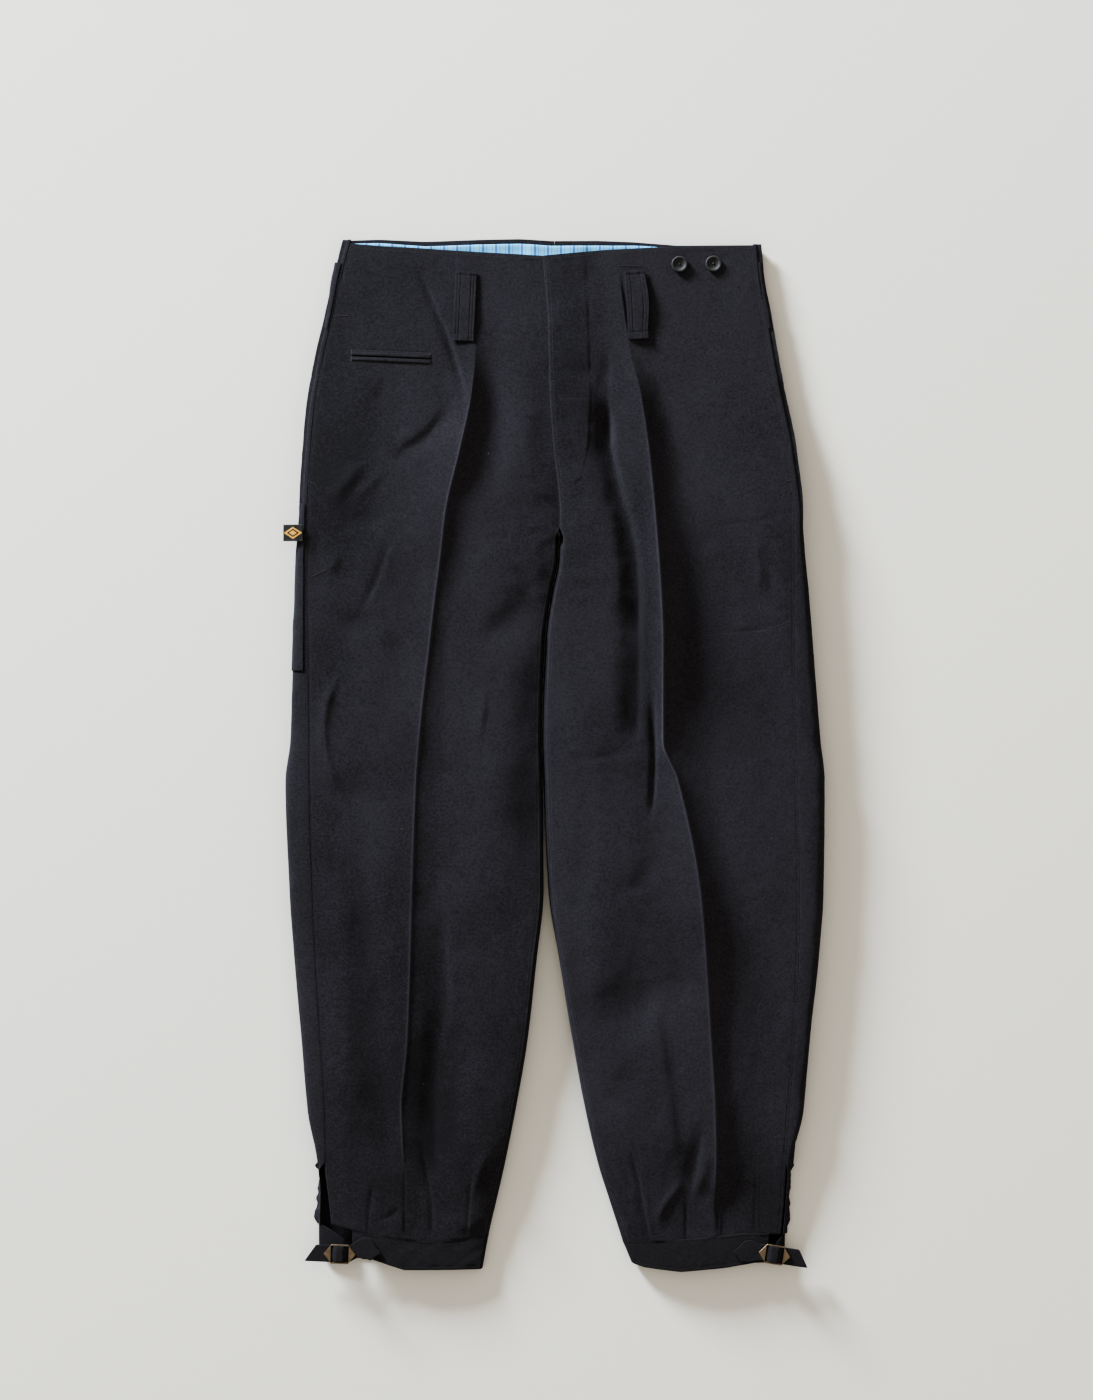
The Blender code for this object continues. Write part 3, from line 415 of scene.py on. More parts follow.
def gridFaces(rows, columns, flip=False, closed=False):
    # Squares between neighbouring rows and columns. A closed grid joins its last column to its first.
    index = np.arange(rows * columns).reshape(rows, columns)
    if closed:
        index = np.concatenate([index, index[:, :1]], axis=1)
    a, b, c, d = index[:-1, :-1], index[1:, :-1], index[1:, 1:], index[:-1, 1:]
    return np.stack([a, d, c, b] if flip else [a, b, c, d], axis=-1).reshape(-1, 4)


def layUv(made, flat, faces):
    # Each corner's place on the flat cut, in metres.
    layer = made.data.uv_layers.new(name="cut")
    layer.data.foreach_set("uv", (flat[faces.ravel()] * millimetre).astype(np.float32).ravel())


def panelPiece(name, points, marks, flip):
    # The marks of each point are its x and drop on the cut, then its painted light, painted shade and wear.
    faces = gridFaces(*points.shape[:2], flip)
    made = meshObject(name, points.reshape(-1, 3), faces, clothMaterial)
    layUv(made, marks[..., :2].reshape(-1, 2), faces)
    layer = made.data.attributes.new("paintedLightShadeAndWear", "FLOAT", "POINT")
    layer.data.foreach_set("value", marks[..., 2].astype(np.float32).ravel())
    return made


def smoothUpTo(made, degrees):
    # Shades smooth, with a sharp line where faces meet at more than this angle.
    made.data.polygons.foreach_set("use_smooth", np.ones(len(made.data.polygons), bool))
    made.data.set_sharp_from_angle(angle=math.radians(degrees))


def settle(made, slot, *nodes):
    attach(made, "root")
    if nodes:
        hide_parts(*nodes)
    return made


# Materials

stripes = {"every": 13, "wide": 0.085, "hairAt": 0.27, "hair": 0.03, "hairShare": 0.55}
flag = {"slope": 0.66, "centre": 2.6, "ring": (4.2, 6.0), "borderFrom": 7.3, "borderShare": 0.6}
colours = {
    "lint": (0.16, 0.16, 0.17, 1),
    "sheen": (0.20, 0.195, 0.225, 1),
    "paleBlue": (0.2, 0.6, 0.98, 1),
    "deepBlue": (0.07, 0.24, 0.60, 1),
    "flagGround": (0.006, 0.006, 0.007, 1),
    "ochre": (0.52, 0.28, 0.045, 1),
    "flagBorder": (0.03, 0.028, 0.025, 1),
}


def newMaterial(name):
    made = bpy.data.materials.new(name)
    made.use_nodes = True
    tree = made.node_tree
    return made, tree, tree.nodes["Principled BSDF"]


def feed(tree, node, inputs):
    # Gives each named input its value, or links the socket given for it.
    for key, value in inputs.items():
        if isinstance(value, bpy.types.NodeSocket):
            tree.links.new(value, node.inputs[key])
        else:
            node.inputs[key].default_value = value


def addNode(tree, kind, inputs=None, **settings):
    node = tree.nodes.new("ShaderNode" + kind)
    for key, value in settings.items():
        setattr(node, key, value)
    feed(tree, node, inputs or {})
    return node


def mathNode(tree, operation, first, second=0.5):
    return addNode(tree, "Math", {0: first, 1: second}, operation=operation).outputs[0]


def weightedSum(tree, total, *parts):
    # The total plus each value times its weight.
    for value, weight in parts:
        total = mathNode(tree, "ADD", total, mathNode(tree, "MULTIPLY", value, weight))
    return total


def mixColours(tree, share, first, second):
    return addNode(tree, "Mix", {"Factor": share, "A": first, "B": second}, data_type="RGBA").outputs["Result"]


def objectPlace(tree):
    return addNode(tree, "TexCoord").outputs["Object"]


def cutPlace(tree):
    return addNode(tree, "UVMap", uv_map="cut").outputs["UV"]


def noiseOn(tree, scale, detail, roughness=0.5):
    inputs = {"Vector": objectPlace(tree), "Scale": scale, "Detail": detail, "Roughness": roughness}
    return addNode(tree, "TexNoise", inputs).outputs["Fac"]


# Noises as scale, detail and roughness, and the share of each part in the height and in the shade.
weave = {
    "ribs": {"Scale": 260.0, "Distortion": 2.0, "Detail": 2.0},
    "noises": {
        "nap": (700.0, 3.0, 0.7), "slub": (120.0, 4.0, 0.65), "cloud": (11.0, 3.0, 0.55), "grain": (430.0, 2.0, 0.6),
    },
    "heights": {"ribs": 0.35, "slub": 1.4},
    "shades": {"cloud": 0.6, "slub": 0.4, "grain": 1.3},
    "shadeFrom": -0.73,
    "bump": {"Strength": 0.4, "Distance": 0.0007},
    "lint": {"Scale": 26.0, "Randomness": 1.0},
    "lintSize": 0.013,
}


def newGroup(name, inputs, outputs):
    group = bpy.data.node_groups.new(name, "ShaderNodeTree")
    for way, sockets in (("INPUT", inputs), ("OUTPUT", outputs)):
        for socket, kind in sockets.items():
            group.interface.new_socket(socket, in_out=way, socket_type="NodeSocket" + kind)
    return group, group.nodes.new("NodeGroupInput"), group.nodes.new("NodeGroupOutput")


def makeWeaveGroup():
    # Twill ribs and a short nap as one height for a bump, with a cloudy shade and specks of lint.
    made = newGroup("clothSurface", {"Softness": "Vector"}, {"Normal": "Vector", "Shade": "Float", "Lint": "Float"})
    group, given, result = made
    ribs = addNode(group, "TexWave", {"Vector": cutPlace(group), **weave["ribs"]}, bands_direction="DIAGONAL")
    parts = {name: noiseOn(group, *numbers) for name, numbers in weave["noises"].items()}
    parts["ribs"] = ribs.outputs["Fac"]
    height, shade = (
        weightedSum(group, start, *((parts[name], share) for name, share in weave[shares].items()))
        for start, shares in ((parts["nap"], "heights"), (weave["shadeFrom"], "shades"))
    )
    # The nap stands up, so the slopes shade less than bare cloth would.
    slope = addNode(group, "NewGeometry").outputs["Normal"]
    soft = addNode(group, "VectorMath", {0: slope, 1: given.outputs["Softness"]}, operation="MULTIPLY").outputs["Vector"]
    upright = addNode(group, "VectorMath", {0: soft}, operation="NORMALIZE").outputs["Vector"]
    bump = addNode(group, "Bump", {**weave["bump"], "Height": height, "Normal": upright})
    specks = addNode(group, "TexVoronoi", {"Vector": objectPlace(group), **weave["lint"]})
    feed(group, result, {
        "Normal": bump.outputs["Normal"],
        "Shade": shade,
        "Lint": mathNode(group, "LESS_THAN", specks.outputs["Distance"], weave["lintSize"]),
    })
    return group


grained = {"noise": (320.0, 5.0, 0.7), "bump": {"Strength": 0.25, "Distance": 0.0002}}


def makeGrainGroup():
    # A fine noise as a share, 1 give or take the amount, and as small bumps.
    group, given, result = newGroup("fineGrain", {"Amount": "Float"}, {"Share": "Float", "Normal": "Vector"})
    noise, amount = noiseOn(group, *grained["noise"]), given.outputs["Amount"]
    low, high = mathNode(group, "SUBTRACT", 1, amount), mathNode(group, "ADD", 1, amount)
    share = addNode(group, "MapRange", {"Value": noise, "To Min": low, "To Max": high})
    bump = addNode(group, "Bump", {**grained["bump"], "Height": noise})
    feed(group, result, {"Share": share.outputs["Result"], "Normal": bump.outputs["Normal"]})
    return group


def makeCloth(name, dark, light, sheen):
    # From dark to light by the group's random tone plus the piece's painted light, painted shade and wear, with lint
    # over it.
    made, tree, shader = newMaterial(name)
    surface = addNode(tree, "Group", node_tree=weaveGroup)
    feed(tree, surface, {"Softness": (napSoftness, napSoftness, 1)})
    # The attribute holds painted shade and painted light as well as wear.
    paintedLightShadeAndWear = addNode(tree, "Attribute", attribute_name="paintedLightShadeAndWear").outputs["Fac"]
    shade = mathNode(tree, "ADD", surface.outputs["Shade"], paintedLightShadeAndWear)
    dyed = mixColours(tree, shade, (*dark, 1), (*light, 1))
    feed(tree, shader, {
        "Base Color": mixColours(tree, surface.outputs["Lint"], dyed, colours["lint"]),
        "Normal": surface.outputs["Normal"],
        "Roughness": 0.92,
        "Specular IOR Level": 0.25,
        "Sheen Weight": sheen,
        "Sheen Roughness": 0.6,
        "Sheen Tint": colours["sheen"],
    })
    return made


def makeStriped():
    # Pale blue shirting: a wide darker stripe every 13 mm with a hair stripe on each side.
    made, tree, shader = newMaterial("stripedFacing")
    across = addNode(tree, "SeparateXYZ", {0: cutPlace(tree)}).outputs["X"]
    turns = mathNode(tree, "FRACT", mathNode(tree, "MULTIPLY", across, 1000 / stripes["every"]))
    place = mathNode(tree, "ABSOLUTE", mathNode(tree, "SUBTRACT", turns, 0.5))
    wide = mathNode(tree, "LESS_THAN", place, stripes["wide"])
    beside = mathNode(tree, "ABSOLUTE", mathNode(tree, "SUBTRACT", place, stripes["hairAt"]))
    hair = mathNode(tree, "MULTIPLY", mathNode(tree, "LESS_THAN", beside, stripes["hair"]), stripes["hairShare"])
    colour = mixColours(tree, mathNode(tree, "MAXIMUM", wide, hair), colours["paleBlue"], colours["deepBlue"])
    feed(tree, shader, {"Base Color": colour, "Roughness": 0.85})
    return made


def makeLabel():
    # A dark woven flag with a paler border line and an ochre diamond: a ring and a centre round the middle.
    made, tree, shader = newMaterial("wovenLabel")
    split = addNode(tree, "SeparateXYZ", {0: cutPlace(tree)})
    across, upward = (
        mathNode(tree, "ABSOLUTE", mathNode(tree, "MULTIPLY", split.outputs[axis], 1000.0)) for axis in "XY"
    )
    reach = weightedSum(tree, upward, (across, flag["slope"]))
    within = [mathNode(tree, "LESS_THAN", reach, edge) for edge in (flag["centre"], flag["ring"][1])]
    ring = mathNode(tree, "MULTIPLY", within[1], mathNode(tree, "GREATER_THAN", reach, flag["ring"][0]))
    diamond = mathNode(tree, "ADD", ring, within[0])
    grain = mathNode(tree, "ADD", noiseOn(tree, 900.0, 2.0), 0.4)
    colour = mixColours(tree, mathNode(tree, "MULTIPLY", diamond, grain), colours["flagGround"], colours["ochre"])
    border = mathNode(tree, "MULTIPLY", mathNode(tree, "GREATER_THAN", upward, flag["borderFrom"]), flag["borderShare"])
    feed(tree, shader, {"Base Color": mixColours(tree, border, colour, colours["flagBorder"]), "Roughness": 0.8})
    return made


def makePlain(name, colour, roughness, metallic=0.0, grain=0.0):
    # The colour and the roughness are both times the grain's share.
    made, tree, shader = newMaterial(name)
    surface = addNode(tree, "Group", node_tree=grainGroup)
    feed(tree, surface, {"Amount": grain})
    scaled = addNode(tree, "VectorMath", {0: colour}, operation="SCALE")
    feed(tree, scaled, {"Scale": surface.outputs["Share"]})
    feed(tree, shader, {
        "Base Color": scaled.outputs["Vector"],
        "Roughness": mathNode(tree, "MULTIPLY", surface.outputs["Share"], roughness),
        "Metallic": metallic,
        "Normal": surface.outputs["Normal"],
    })
    return made


weaveGroup, grainGroup = makeWeaveGroup(), makeGrainGroup()
clothMaterial = makeCloth("blackMoleskin", (0.009, 0.0088, 0.0118), (0.0333, 0.032, 0.0428), 0.12)
# A darker copy of the moleskin for the cuffs and the straps: painted shade.
shadedCuffMaterial = makeCloth("shadedBlackCuff", (0.007, 0.0068, 0.0088), (0.0225, 0.0217, 0.027), 0.1)
threadMaterial = makePlain("blackThread", (0.020, 0.020, 0.025), 0.55, grain=0.3)
facingMaterial = makeStriped()
labelMaterial = makeLabel()
brassMaterial = makePlain("agedBrass", (0.20, 0.16, 0.115), 0.42, 1.0, 0.5)
hornMaterial = makePlain("darkHorn", (0.013, 0.0135, 0.016), 0.7, 0.0, 0.4)
print("materials made")

# Fronts

# Each edge is turned under with a radius and a depth. The near columns are those closest to a long edge.
fronts = {
    "rows": 400,
    "nearEdge": (0, 0.5, 1.0, 1.6, 2.3, 3.0, 3.6, 4.2, 4.8, 5.4, 6.2, 7.2),
    "spanColumns": (48, 34, 24, 26, 34),
    "sideEdge": (0.75, 9.0),
    "waistEdge": (0.75, 20.0),
    "hemEdge": (0.4, 3.0),
    "seamDip": 0.45,
    "stitchDip": 0.34,
    "stitchInset": 2.8,
    "flyDip": 0.3,
    "flapRise": 0.45,
    "pressedRidge": 0.9,
    "aboveCuff": 0.3,
}
pocket = {"ends": (-203.0, -123.5), "middle": 115.6, "fall": 0.05, "frame": 6.4, "rows": (106.3, 125.1, 28)}
flyStitch = ((10, 30.5), (110, 34.5), (164, 36.5), (205, 34), (236, 27.5), (245, 18.5), (262, 9.5))
cuffs = {
    "thick": 2.0,
    "rows": 40,
    "edgeHeight": 9.0,
    "rise": 6.0,
    "power": 2.5,
    "frontColumns": 130,
    "stitchDip": 0.25,
    "start": {"right": 0.6, "left": 0.2},
    "wrapX": {"right": -211.0, "left": 222.5},
    "wrapDip": {"right": 13.0, "left": 8.0},
}


def edgeDistance(leg, x, drop):
    # How far in a place lies from the side seam and from the inner edge.
    return np.abs(x - column(leg, "seam", drop)), np.abs(x - inseam(leg, drop))


def flyLine(drop):
    # The fly's stitching, as an x for each drop, straight between its points.
    return edgeLine(flyStitch, drop)


def flyShare(drop):
    # 1 down the fly, falling to 0 at its end.
    return 1 - smoothStep(drop, flyEndDrop - 60, flyEndDrop)


def cuffHeight(leg, x, drop):
    # An even arch across the cuff: its edge height plus the rise times 1 less a power of the place from the middle.
    seam = column(leg, "seam", drop)
    share = np.clip((x - seam) / (column(leg, "inner", drop) - seam), 0, 1)
    return cuffs["edgeHeight"] + cuffs["rise"] * (1 - np.abs(2 * share - 1) ** cuffs["power"])


def clothHeight(leg, x, drop):
    # The front's height with its finer form: dips along stitching, puckers, soft dents and small wrinkles.
    fromSeam, fromInner = edgeDistance(leg, x, drop)
    pucker = wave("pucker", x, drop, leg)
    uneven = 1 + 0.4 * pucker
    z = frontHeight(leg, x, drop) - fronts["seamDip"] * bell(fromSeam, 1.1)
    z = z - fronts["stitchDip"] * uneven * bell(fromSeam - fronts["stitchInset"], 0.8)
    z = z + 0.16 * pucker * (bell(fromSeam, 9) + bell(fromInner, 8) * crotchTurn(drop))
    calm = (1 - 0.7 * bell(drop, 40)) * (1 - bell(fromSeam, 16)) * (1 - 0.8 * smoothStep(drop, 940, 985))
    z = z + calm * sum(wave(name, x, drop, leg) for name in ("broad", "middle", "fine"))
    pressed = bell(x - column(leg, "ridge", drop), 1.2) * plateau(drop, (130, 220), (900, 960))
    z = z + fronts["pressedRidge"] * pressed
    z = z + smoothStep(drop, 880, 985) * wave("gather", x, drop, leg)
    z = z + bell(drop - crotchDrop, 70) * bell(fromInner, 60) * wave("crotch", x, drop, leg)
    if leg is rightLeg:
        first, last = pocket["ends"]
        off = np.abs(drop - pocket["middle"] - pocket["fall"] * (x - first))
        within = plateau(x, (first - 1, first + 1), (last - 1, last + 1))
        z = z - within * (0.4 * bell(off - pocket["frame"], 0.9) + 0.9 * np.exp(-((off / 1.1) ** 4)))
    else:
        onFly = bell(x - flyLine(drop), 0.9) * (1 - smoothStep(drop, 235, 262))
        flap = smoothStep(flyLine(drop) - x, -1.5, 1.5) * (1 - smoothStep(drop, 240, 262))
        z = z - fronts["flyDip"] * uneven * onFly + flap * (fronts["flapRise"] + wave("fly", x, drop))
    # Along the hem seam nothing stands far above the cuff that it is sewn to.
    seamDrop = edgeLine(hemSeam, x)
    over = np.maximum(z - cuffHeight(leg, x, drop) - fronts["aboveCuff"], 0)
    return z - over * smoothStep(drop, seamDrop - 16, seamDrop - 1)


def frontColumns(leg, drop):
    # Close columns along both long edges, and even ones from place to place of the section between them.
    stops = [column(leg, name, drop) for name in ("seam", "foot", "ridge", "valley", "shoulder")]
    stops.append(inseam(leg, drop))
    side, near = -leg["side"], fronts["nearEdge"]
    starts = [stops[0] + side * near[-1], *stops[1:-1]]
    ends = [*stops[1:-1], stops[-1] - side * near[-1]]
    x = [stops[0] + side * inset for inset in near]
    for start, end, count in zip(starts, ends, fronts["spanColumns"]):
        x += [start + (end - start) * k / count for k in range(1, count + 1)]
    x += [stops[-1] - side * inset for inset in near[-2::-1]]
    return np.stack(x, axis=-1)


# Patches of painted shade on lit slopes and painted light in shadowed bands: x, drop, width, height, how much lighter.
paintedShadeAndLight = (
    (14, 120, 26, 150, -0.32), (-215, 240, 48, 150, -0.34), (-160, 800, 18, 170, -0.12),
    (-150, 900, 120, 180, -0.24), (60, 1000, 130, 60, -0.10), (88, 380, 16, 160, -0.24),
    (84, 400, 6, 120, -0.25), (120, 340, 15, 170, 0.2), (165, 780, 15, 180, 0.12),
    (-215, 620, 40, 220, -0.10), (-120, 840, 22, 90, -0.25), (-190, 120, 40, 50, -0.10),
    (-60, 190, 40, 110, 0.10), (120, 60, 70, 60, 0.06), (-150, 40, 60, 50, -0.10),
    (200, 620, 60, 200, 0.05), (110, 820, 60, 90, 0.12), (-70, 470, 60, 120, 0.08),
    (-120, 620, 40, 200, 0.06),
)
fadeAndHighlight = {"seam": (0.25, 1.6), "inner": (0.3, 1.4), "ridge": (0.9, 1.2)}  # How much lighter, and how wide: real fading of the dye with a painted highlight along the seam, the inner edge and most of all the pressed ridge.


def paintedLightShadeAndWearAt(leg, x, drop):
    # Patches of painted shade and painted light, each a bell across times a bell down, and lighter bells along the
    # seam, the inner edge and the ridge for fading and painted highlight.
    fromSeam, fromInner = edgeDistance(leg, x, drop)
    fromRidge = x - column(leg, "ridge", drop)
    onRidge = plateau(drop, (120, 240), (880, 960))
    paintedLightShadeAndWear = 0
    for atX, atDrop, width, height, amount in paintedShadeAndLight:
        paintedLightShadeAndWear = paintedLightShadeAndWear + amount * bell(x - atX, width) * bell(drop - atDrop, height)
    for name, distance, share in (("seam", fromSeam, 1), ("inner", fromInner, 1), ("ridge", fromRidge, onRidge)):
        amount, width = fadeAndHighlight[name]
        paintedLightShadeAndWear = paintedLightShadeAndWear + amount * bell(distance, width) * share
    return paintedLightShadeAndWear


def makeFront(leg):
    # A grid with its four edges turned under. The right front's last columns lap under the left one at the fly.
    name, flip = leg["name"], leg["side"] > 0
    rows = np.linspace(0, hemDrop, fronts["rows"])
    if leg is rightLeg:
        rows = np.sort(np.concatenate([rows, np.linspace(*pocket["rows"])]))
    x = frontColumns(leg, rows)
    if leg is rightLeg:
        steps = np.arange(1, 8)
        lap = flyLap * flyShare(rows)[:, None] * steps / steps[-1]
        x = np.concatenate([x, x[:, -1:] + 0.05 * steps + lap], axis=1)
    drop = slanted(rows[:, None], x, waistFront)
    z = clothHeight(leg, x, drop)
    if leg is rightLeg:
        # Towards the fly this front rises to lie close beneath the other one.
        under = clothHeight(leftLeg, x, drop) - clothThickness - seamGap
        z = z + smoothStep(x - column(leg, "inner", drop), -34, -4) * flyShare(drop) * (under - z)
    points, marks = gridPoints(x, drop, z), np.stack([x, drop, paintedLightShadeAndWearAt(leg, x, drop)], axis=-1)
    for end in (0, 1):
        points, marks = turnSide(points, flip, end, *fronts["sideEdge"], marks)
    for end, edge in enumerate(("waistEdge", "hemEdge")):
        points, marks = turnUnder(points, flip, end, *fronts[edge], marks, (turnedRows, turnedRows))
    return settle(panelPiece("clothFront" + name.title(), points, marks, flip), "cloth", "front_" + name)


# Backs

backs = {
    "rows": 300,
    "sideTurns": 26,
    "floorColumns": 26,
    "innerTurns": 12,
    "sideEdge": (0.5, 8.0),
    "waistEdge": (0.7, 16.0),
    "hemEdge": (0.4, 3.0),
    "slitTurn": {"right": 62.0, "left": 31.0},  # Degrees that the side opens at the cuff.
    "slitDrops": (922, 934),
}


def outerRoll(leg, drop, angles, offset=0.0):
    # From the side seam out and down to the outer edge over a quarter turn, then in underneath over the next one.
    side, top = leg["side"], column(leg, "zSeam", drop)
    seam, outer = column(leg, "seam", drop) + side * seamGap, column(leg, "outer", drop)
    edge = edgeShare * top
    upper = np.minimum(angles, math.pi / 2)
    lower = np.maximum(angles - math.pi / 2, 0)
    x = seam + (outer - seam) * np.sin(upper) ** 0.5 - side * floorRoll * (1 - np.cos(lower))
    z = np.where(lower > 0, edge * (1 - np.sin(lower)), edge + (top - edge) * np.cos(upper) ** 0.75)
    return x + side * offset * np.sin(upper), z + offset * np.cos(upper)


def backGrid(leg, rows):
    # Columns run from the side seam round the outer edge, along the surface and up to the inseam.
    drop, side, quarter = rows[:, None], leg["side"], math.pi / 2
    start = smoothStep(drop, *backs["slitDrops"]) * math.radians(backs["slitTurn"][leg["name"]])
    angles = start + (quarter - start) * np.linspace(0, 1, backs["sideTurns"])[None, :]
    under = np.linspace(quarter, math.pi, 8)[1:][None, :] + np.zeros_like(drop)
    sideX, sideZ = outerRoll(leg, drop, np.concatenate([angles, under], axis=1))
    inner, turned = column(leg, "inner", drop), crotchTurn(drop)
    centre = side * seamGap / 2 + 2.0 * smoothStep(drop, 200, crotchDrop)
    floorEnd = (1 - turned) * centre + turned * inner + side * innerRoll
    along = np.linspace(0, 1, backs["floorColumns"] + 1)[None, 1:]
    floorX = sideX[:, -1:] + (floorEnd - sideX[:, -1:]) * along
    innerTop = column(leg, "zInner", drop) - seamGap
    innerEdge = edgeShare * innerTop
    turn = np.linspace(0, quarter, backs["innerTurns"] + 1)[None, 1:]
    rise, reach = np.sin(turn), 1 - np.cos(turn)
    rolledX = np.concatenate([
        inner + side * innerRoll * (1 - rise), inner + side * (inseamInset - seamGap) * reach,
    ], axis=1)
    rolledZ = np.concatenate([innerEdge * reach, innerEdge + (innerTop - innerEdge) * rise], axis=1)
    flatX = floorEnd + (centre - floorEnd) * np.linspace(0, 1, 2 * backs["innerTurns"] + 1)[None, 1:]
    lift = smoothStep(drop, crotchDrop - 14, crotchDrop + 8)
    x = np.concatenate([sideX, floorX, flatX * (1 - turned) + rolledX * turned], axis=1)
    z = np.concatenate([sideZ, np.zeros_like(floorX), rolledZ * lift], axis=1)
    return x, z


def makeBack(leg):
    # A grid with its side, waist and hem turned under, and soft dents round the side.
    name, flip = leg["name"], leg["side"] < 0
    rows = np.linspace(0, hemDrop, backs["rows"])
    x, z = backGrid(leg, rows)
    drop = slanted(rows[:, None], x, waistBack)
    points, marks = gridPoints(x, drop, z), np.stack([x, drop, np.zeros(x.shape)], axis=-1)
    dents = np.zeros(x.shape)
    dents[:, :backs["sideTurns"]] = np.sin(np.linspace(0, math.pi, backs["sideTurns"]))
    dents = dents * (wave("backDent", x, drop, leg) + wave("backCrease", x, drop, leg))
    points = points + gridNormals(points, not flip) * dents[..., None]
    points, marks = turnSide(points, flip, 0, *backs["sideEdge"], marks)
    for end, edge in enumerate(("waistEdge", "hemEdge")):
        points, marks = turnUnder(points, flip, end, *backs[edge], marks, (turnedRows, 0))
    return settle(panelPiece("clothBack" + name.title(), points, marks, flip), "cloth", "back_" + name)


panels = {leg["name"]: (makeFront(leg), makeBack(leg)) for leg in (rightLeg, leftLeg)}
print("panels made")

# Slabs: strips and bands of cloth with rounded edges


slabEdge = {"turns": (25, 60, 90, 120, 155), "closing": (90, 60, 30)}  # Degrees round an edge and at each end.


def slabPoints(mid, flip, thick):
    # A ring for every row: along the top, round one edge, back underneath and round the other. The ends close too.
    closing = np.radians(slabEdge["closing"])
    reach, steps = np.sin(closing)[:, None, None] * thick / 2, len(closing)
    first = mid[:1] + unit(mid[:1] - mid[1:2]) * reach
    last = mid[-1:] + unit(mid[-1:] - mid[-2:-1]) * reach[::-1]
    mids = np.concatenate([first, mid, last])
    ups = np.pad(gridNormals(mid, flip), ((steps, steps), (0, 0), (0, 0)), "edge")
    half = np.concatenate([np.cos(closing), np.ones(len(mid)), np.cos(closing[::-1])])[:, None, None] * thick / 2
    turns = np.radians(slabEdge["turns"])[None, :, None]
    right = unit(mids[:, -1:] - mids[:, -2:-1]) * np.sin(turns) + ups[:, -1:] * np.cos(turns)
    left = unit(mids[:, :1] - mids[:, 1:2]) * np.sin(turns) + ups[:, :1] * np.cos(turns)
    ring = (mids + ups * half, mids[:, -1:] + right * half, (mids - ups * half)[:, ::-1])
    return np.concatenate([*ring, (mids[:, :1] + left * half)[:, ::-1]], axis=1)


def slabPiece(name, mid, flip, thick, material, middle=(0, 0)):
    # The cut is measured in x and drop from the middle given.
    points = slabPoints(mid, flip, thick)
    faces = gridFaces(*points.shape[:2], flip, closed=True)
    points = points.reshape(-1, 3)
    made = meshObject(name, points, faces, material)
    layUv(made, np.stack([points[:, 0], halfLength - points[:, 1]], axis=-1) - np.array(middle), faces)
    return made


def clothSlab(name, node, mid, flip, thick, material=clothMaterial):
    return settle(slabPiece(name, mid, flip, thick, material), "cloth", node)


def stripGrid(strip, along, across):
    # Places on a straight strip: along from 0 to 1 down its length, across from -1 to 1 over its width.
    xTop, dropTop, xLow, dropLow, width = strip
    heading = np.array([xLow - xTop, dropLow - dropTop], float)
    length = np.hypot(*heading)
    heading /= length
    a, b = np.meshgrid(along * length, across * width / 2, indexing="ij")
    return xTop + a * heading[0] - b * heading[1], dropTop + a * heading[1] + b * heading[0]


# Cuffs


def cuffRing(leg, drop):
    # Places and heights from the cuff's front end over and round underneath to its lapped end, and its dip there.
    name, side = leg["name"], leg["side"]
    inner, outer = column(leg, "inner", drop), column(leg, "outer", drop)
    seam, foot = column(leg, "seam", drop), column(leg, "foot", drop)
    start = seam + (foot - seam) * cuffs["start"][name]
    frontX = np.linspace(start, inseam(leg, drop), cuffs["frontColumns"])
    frontZ = cuffHeight(leg, frontX, drop)
    turn = np.linspace(0, math.pi / 2, 13)[1:]
    rise, reach = np.sin(turn), 1 - np.cos(turn)
    edge = edgeShare * frontZ[-1]
    innerX = np.append(frontX[-1] + (inner - frontX[-1]) * rise, inner + side * innerRoll * reach)
    innerZ = np.append(frontZ[-1] - (frontZ[-1] - edge) * reach, edge * (1 - rise))
    floor = outer - side * floorRoll
    floorX = np.linspace(innerX[-1], floor, 50)[1:]
    sideEdge = edgeShare * cuffs["edgeHeight"]
    sideX = np.append(floor + side * floorRoll * rise, outer + (cuffs["wrapX"][name] - outer) * reach)
    sideZ = np.append(sideEdge * reach, sideEdge + (cuffs["edgeHeight"] - sideEdge) * rise)
    x = np.concatenate([frontX, innerX, floorX, sideX])
    z = np.concatenate([frontZ, innerZ, np.zeros(len(floorX)), sideZ])
    dip = np.zeros(len(x))
    dip[-len(turn):] = cuffs["wrapDip"][name] * reach
    return x, z, dip


def makeCuff(leg):
    # Rings from the hem seam to the cuff's edge, with dips along both rows of stitching on the front.
    name, flip = leg["name"], leg["side"] > 0
    shares = np.linspace(0, 1, cuffs["rows"])
    rings = [cuffRing(leg, hemDrop + 35 * share) for share in shares]
    x, z, dip = (np.array(values) for values in zip(*rings))
    top, low = edgeLine(hemSeam, x) + dip, edgeLine(hemEdge, x)
    drop = top + (low - top) * shares[:, None]
    stitched = cuffs["stitchDip"] * (bell(drop - top - 2.6, 0.8) + bell(low - drop - 3.0, 0.8))
    dent = stitched * (1 + 0.5 * wave("cuffPucker", x, drop, leg)) + wave("cuff", x, drop, leg)
    dent[:, cuffs["frontColumns"]:] = 0
    outer = gridPoints(x, drop, z - dent)
    middle = outer - gridNormals(outer, flip) * cuffs["thick"] / 2
    return clothSlab("cuff" + name.title(), "cuff_" + name, middle, flip, cuffs["thick"], shadedCuffMaterial)


# Straps and buckles

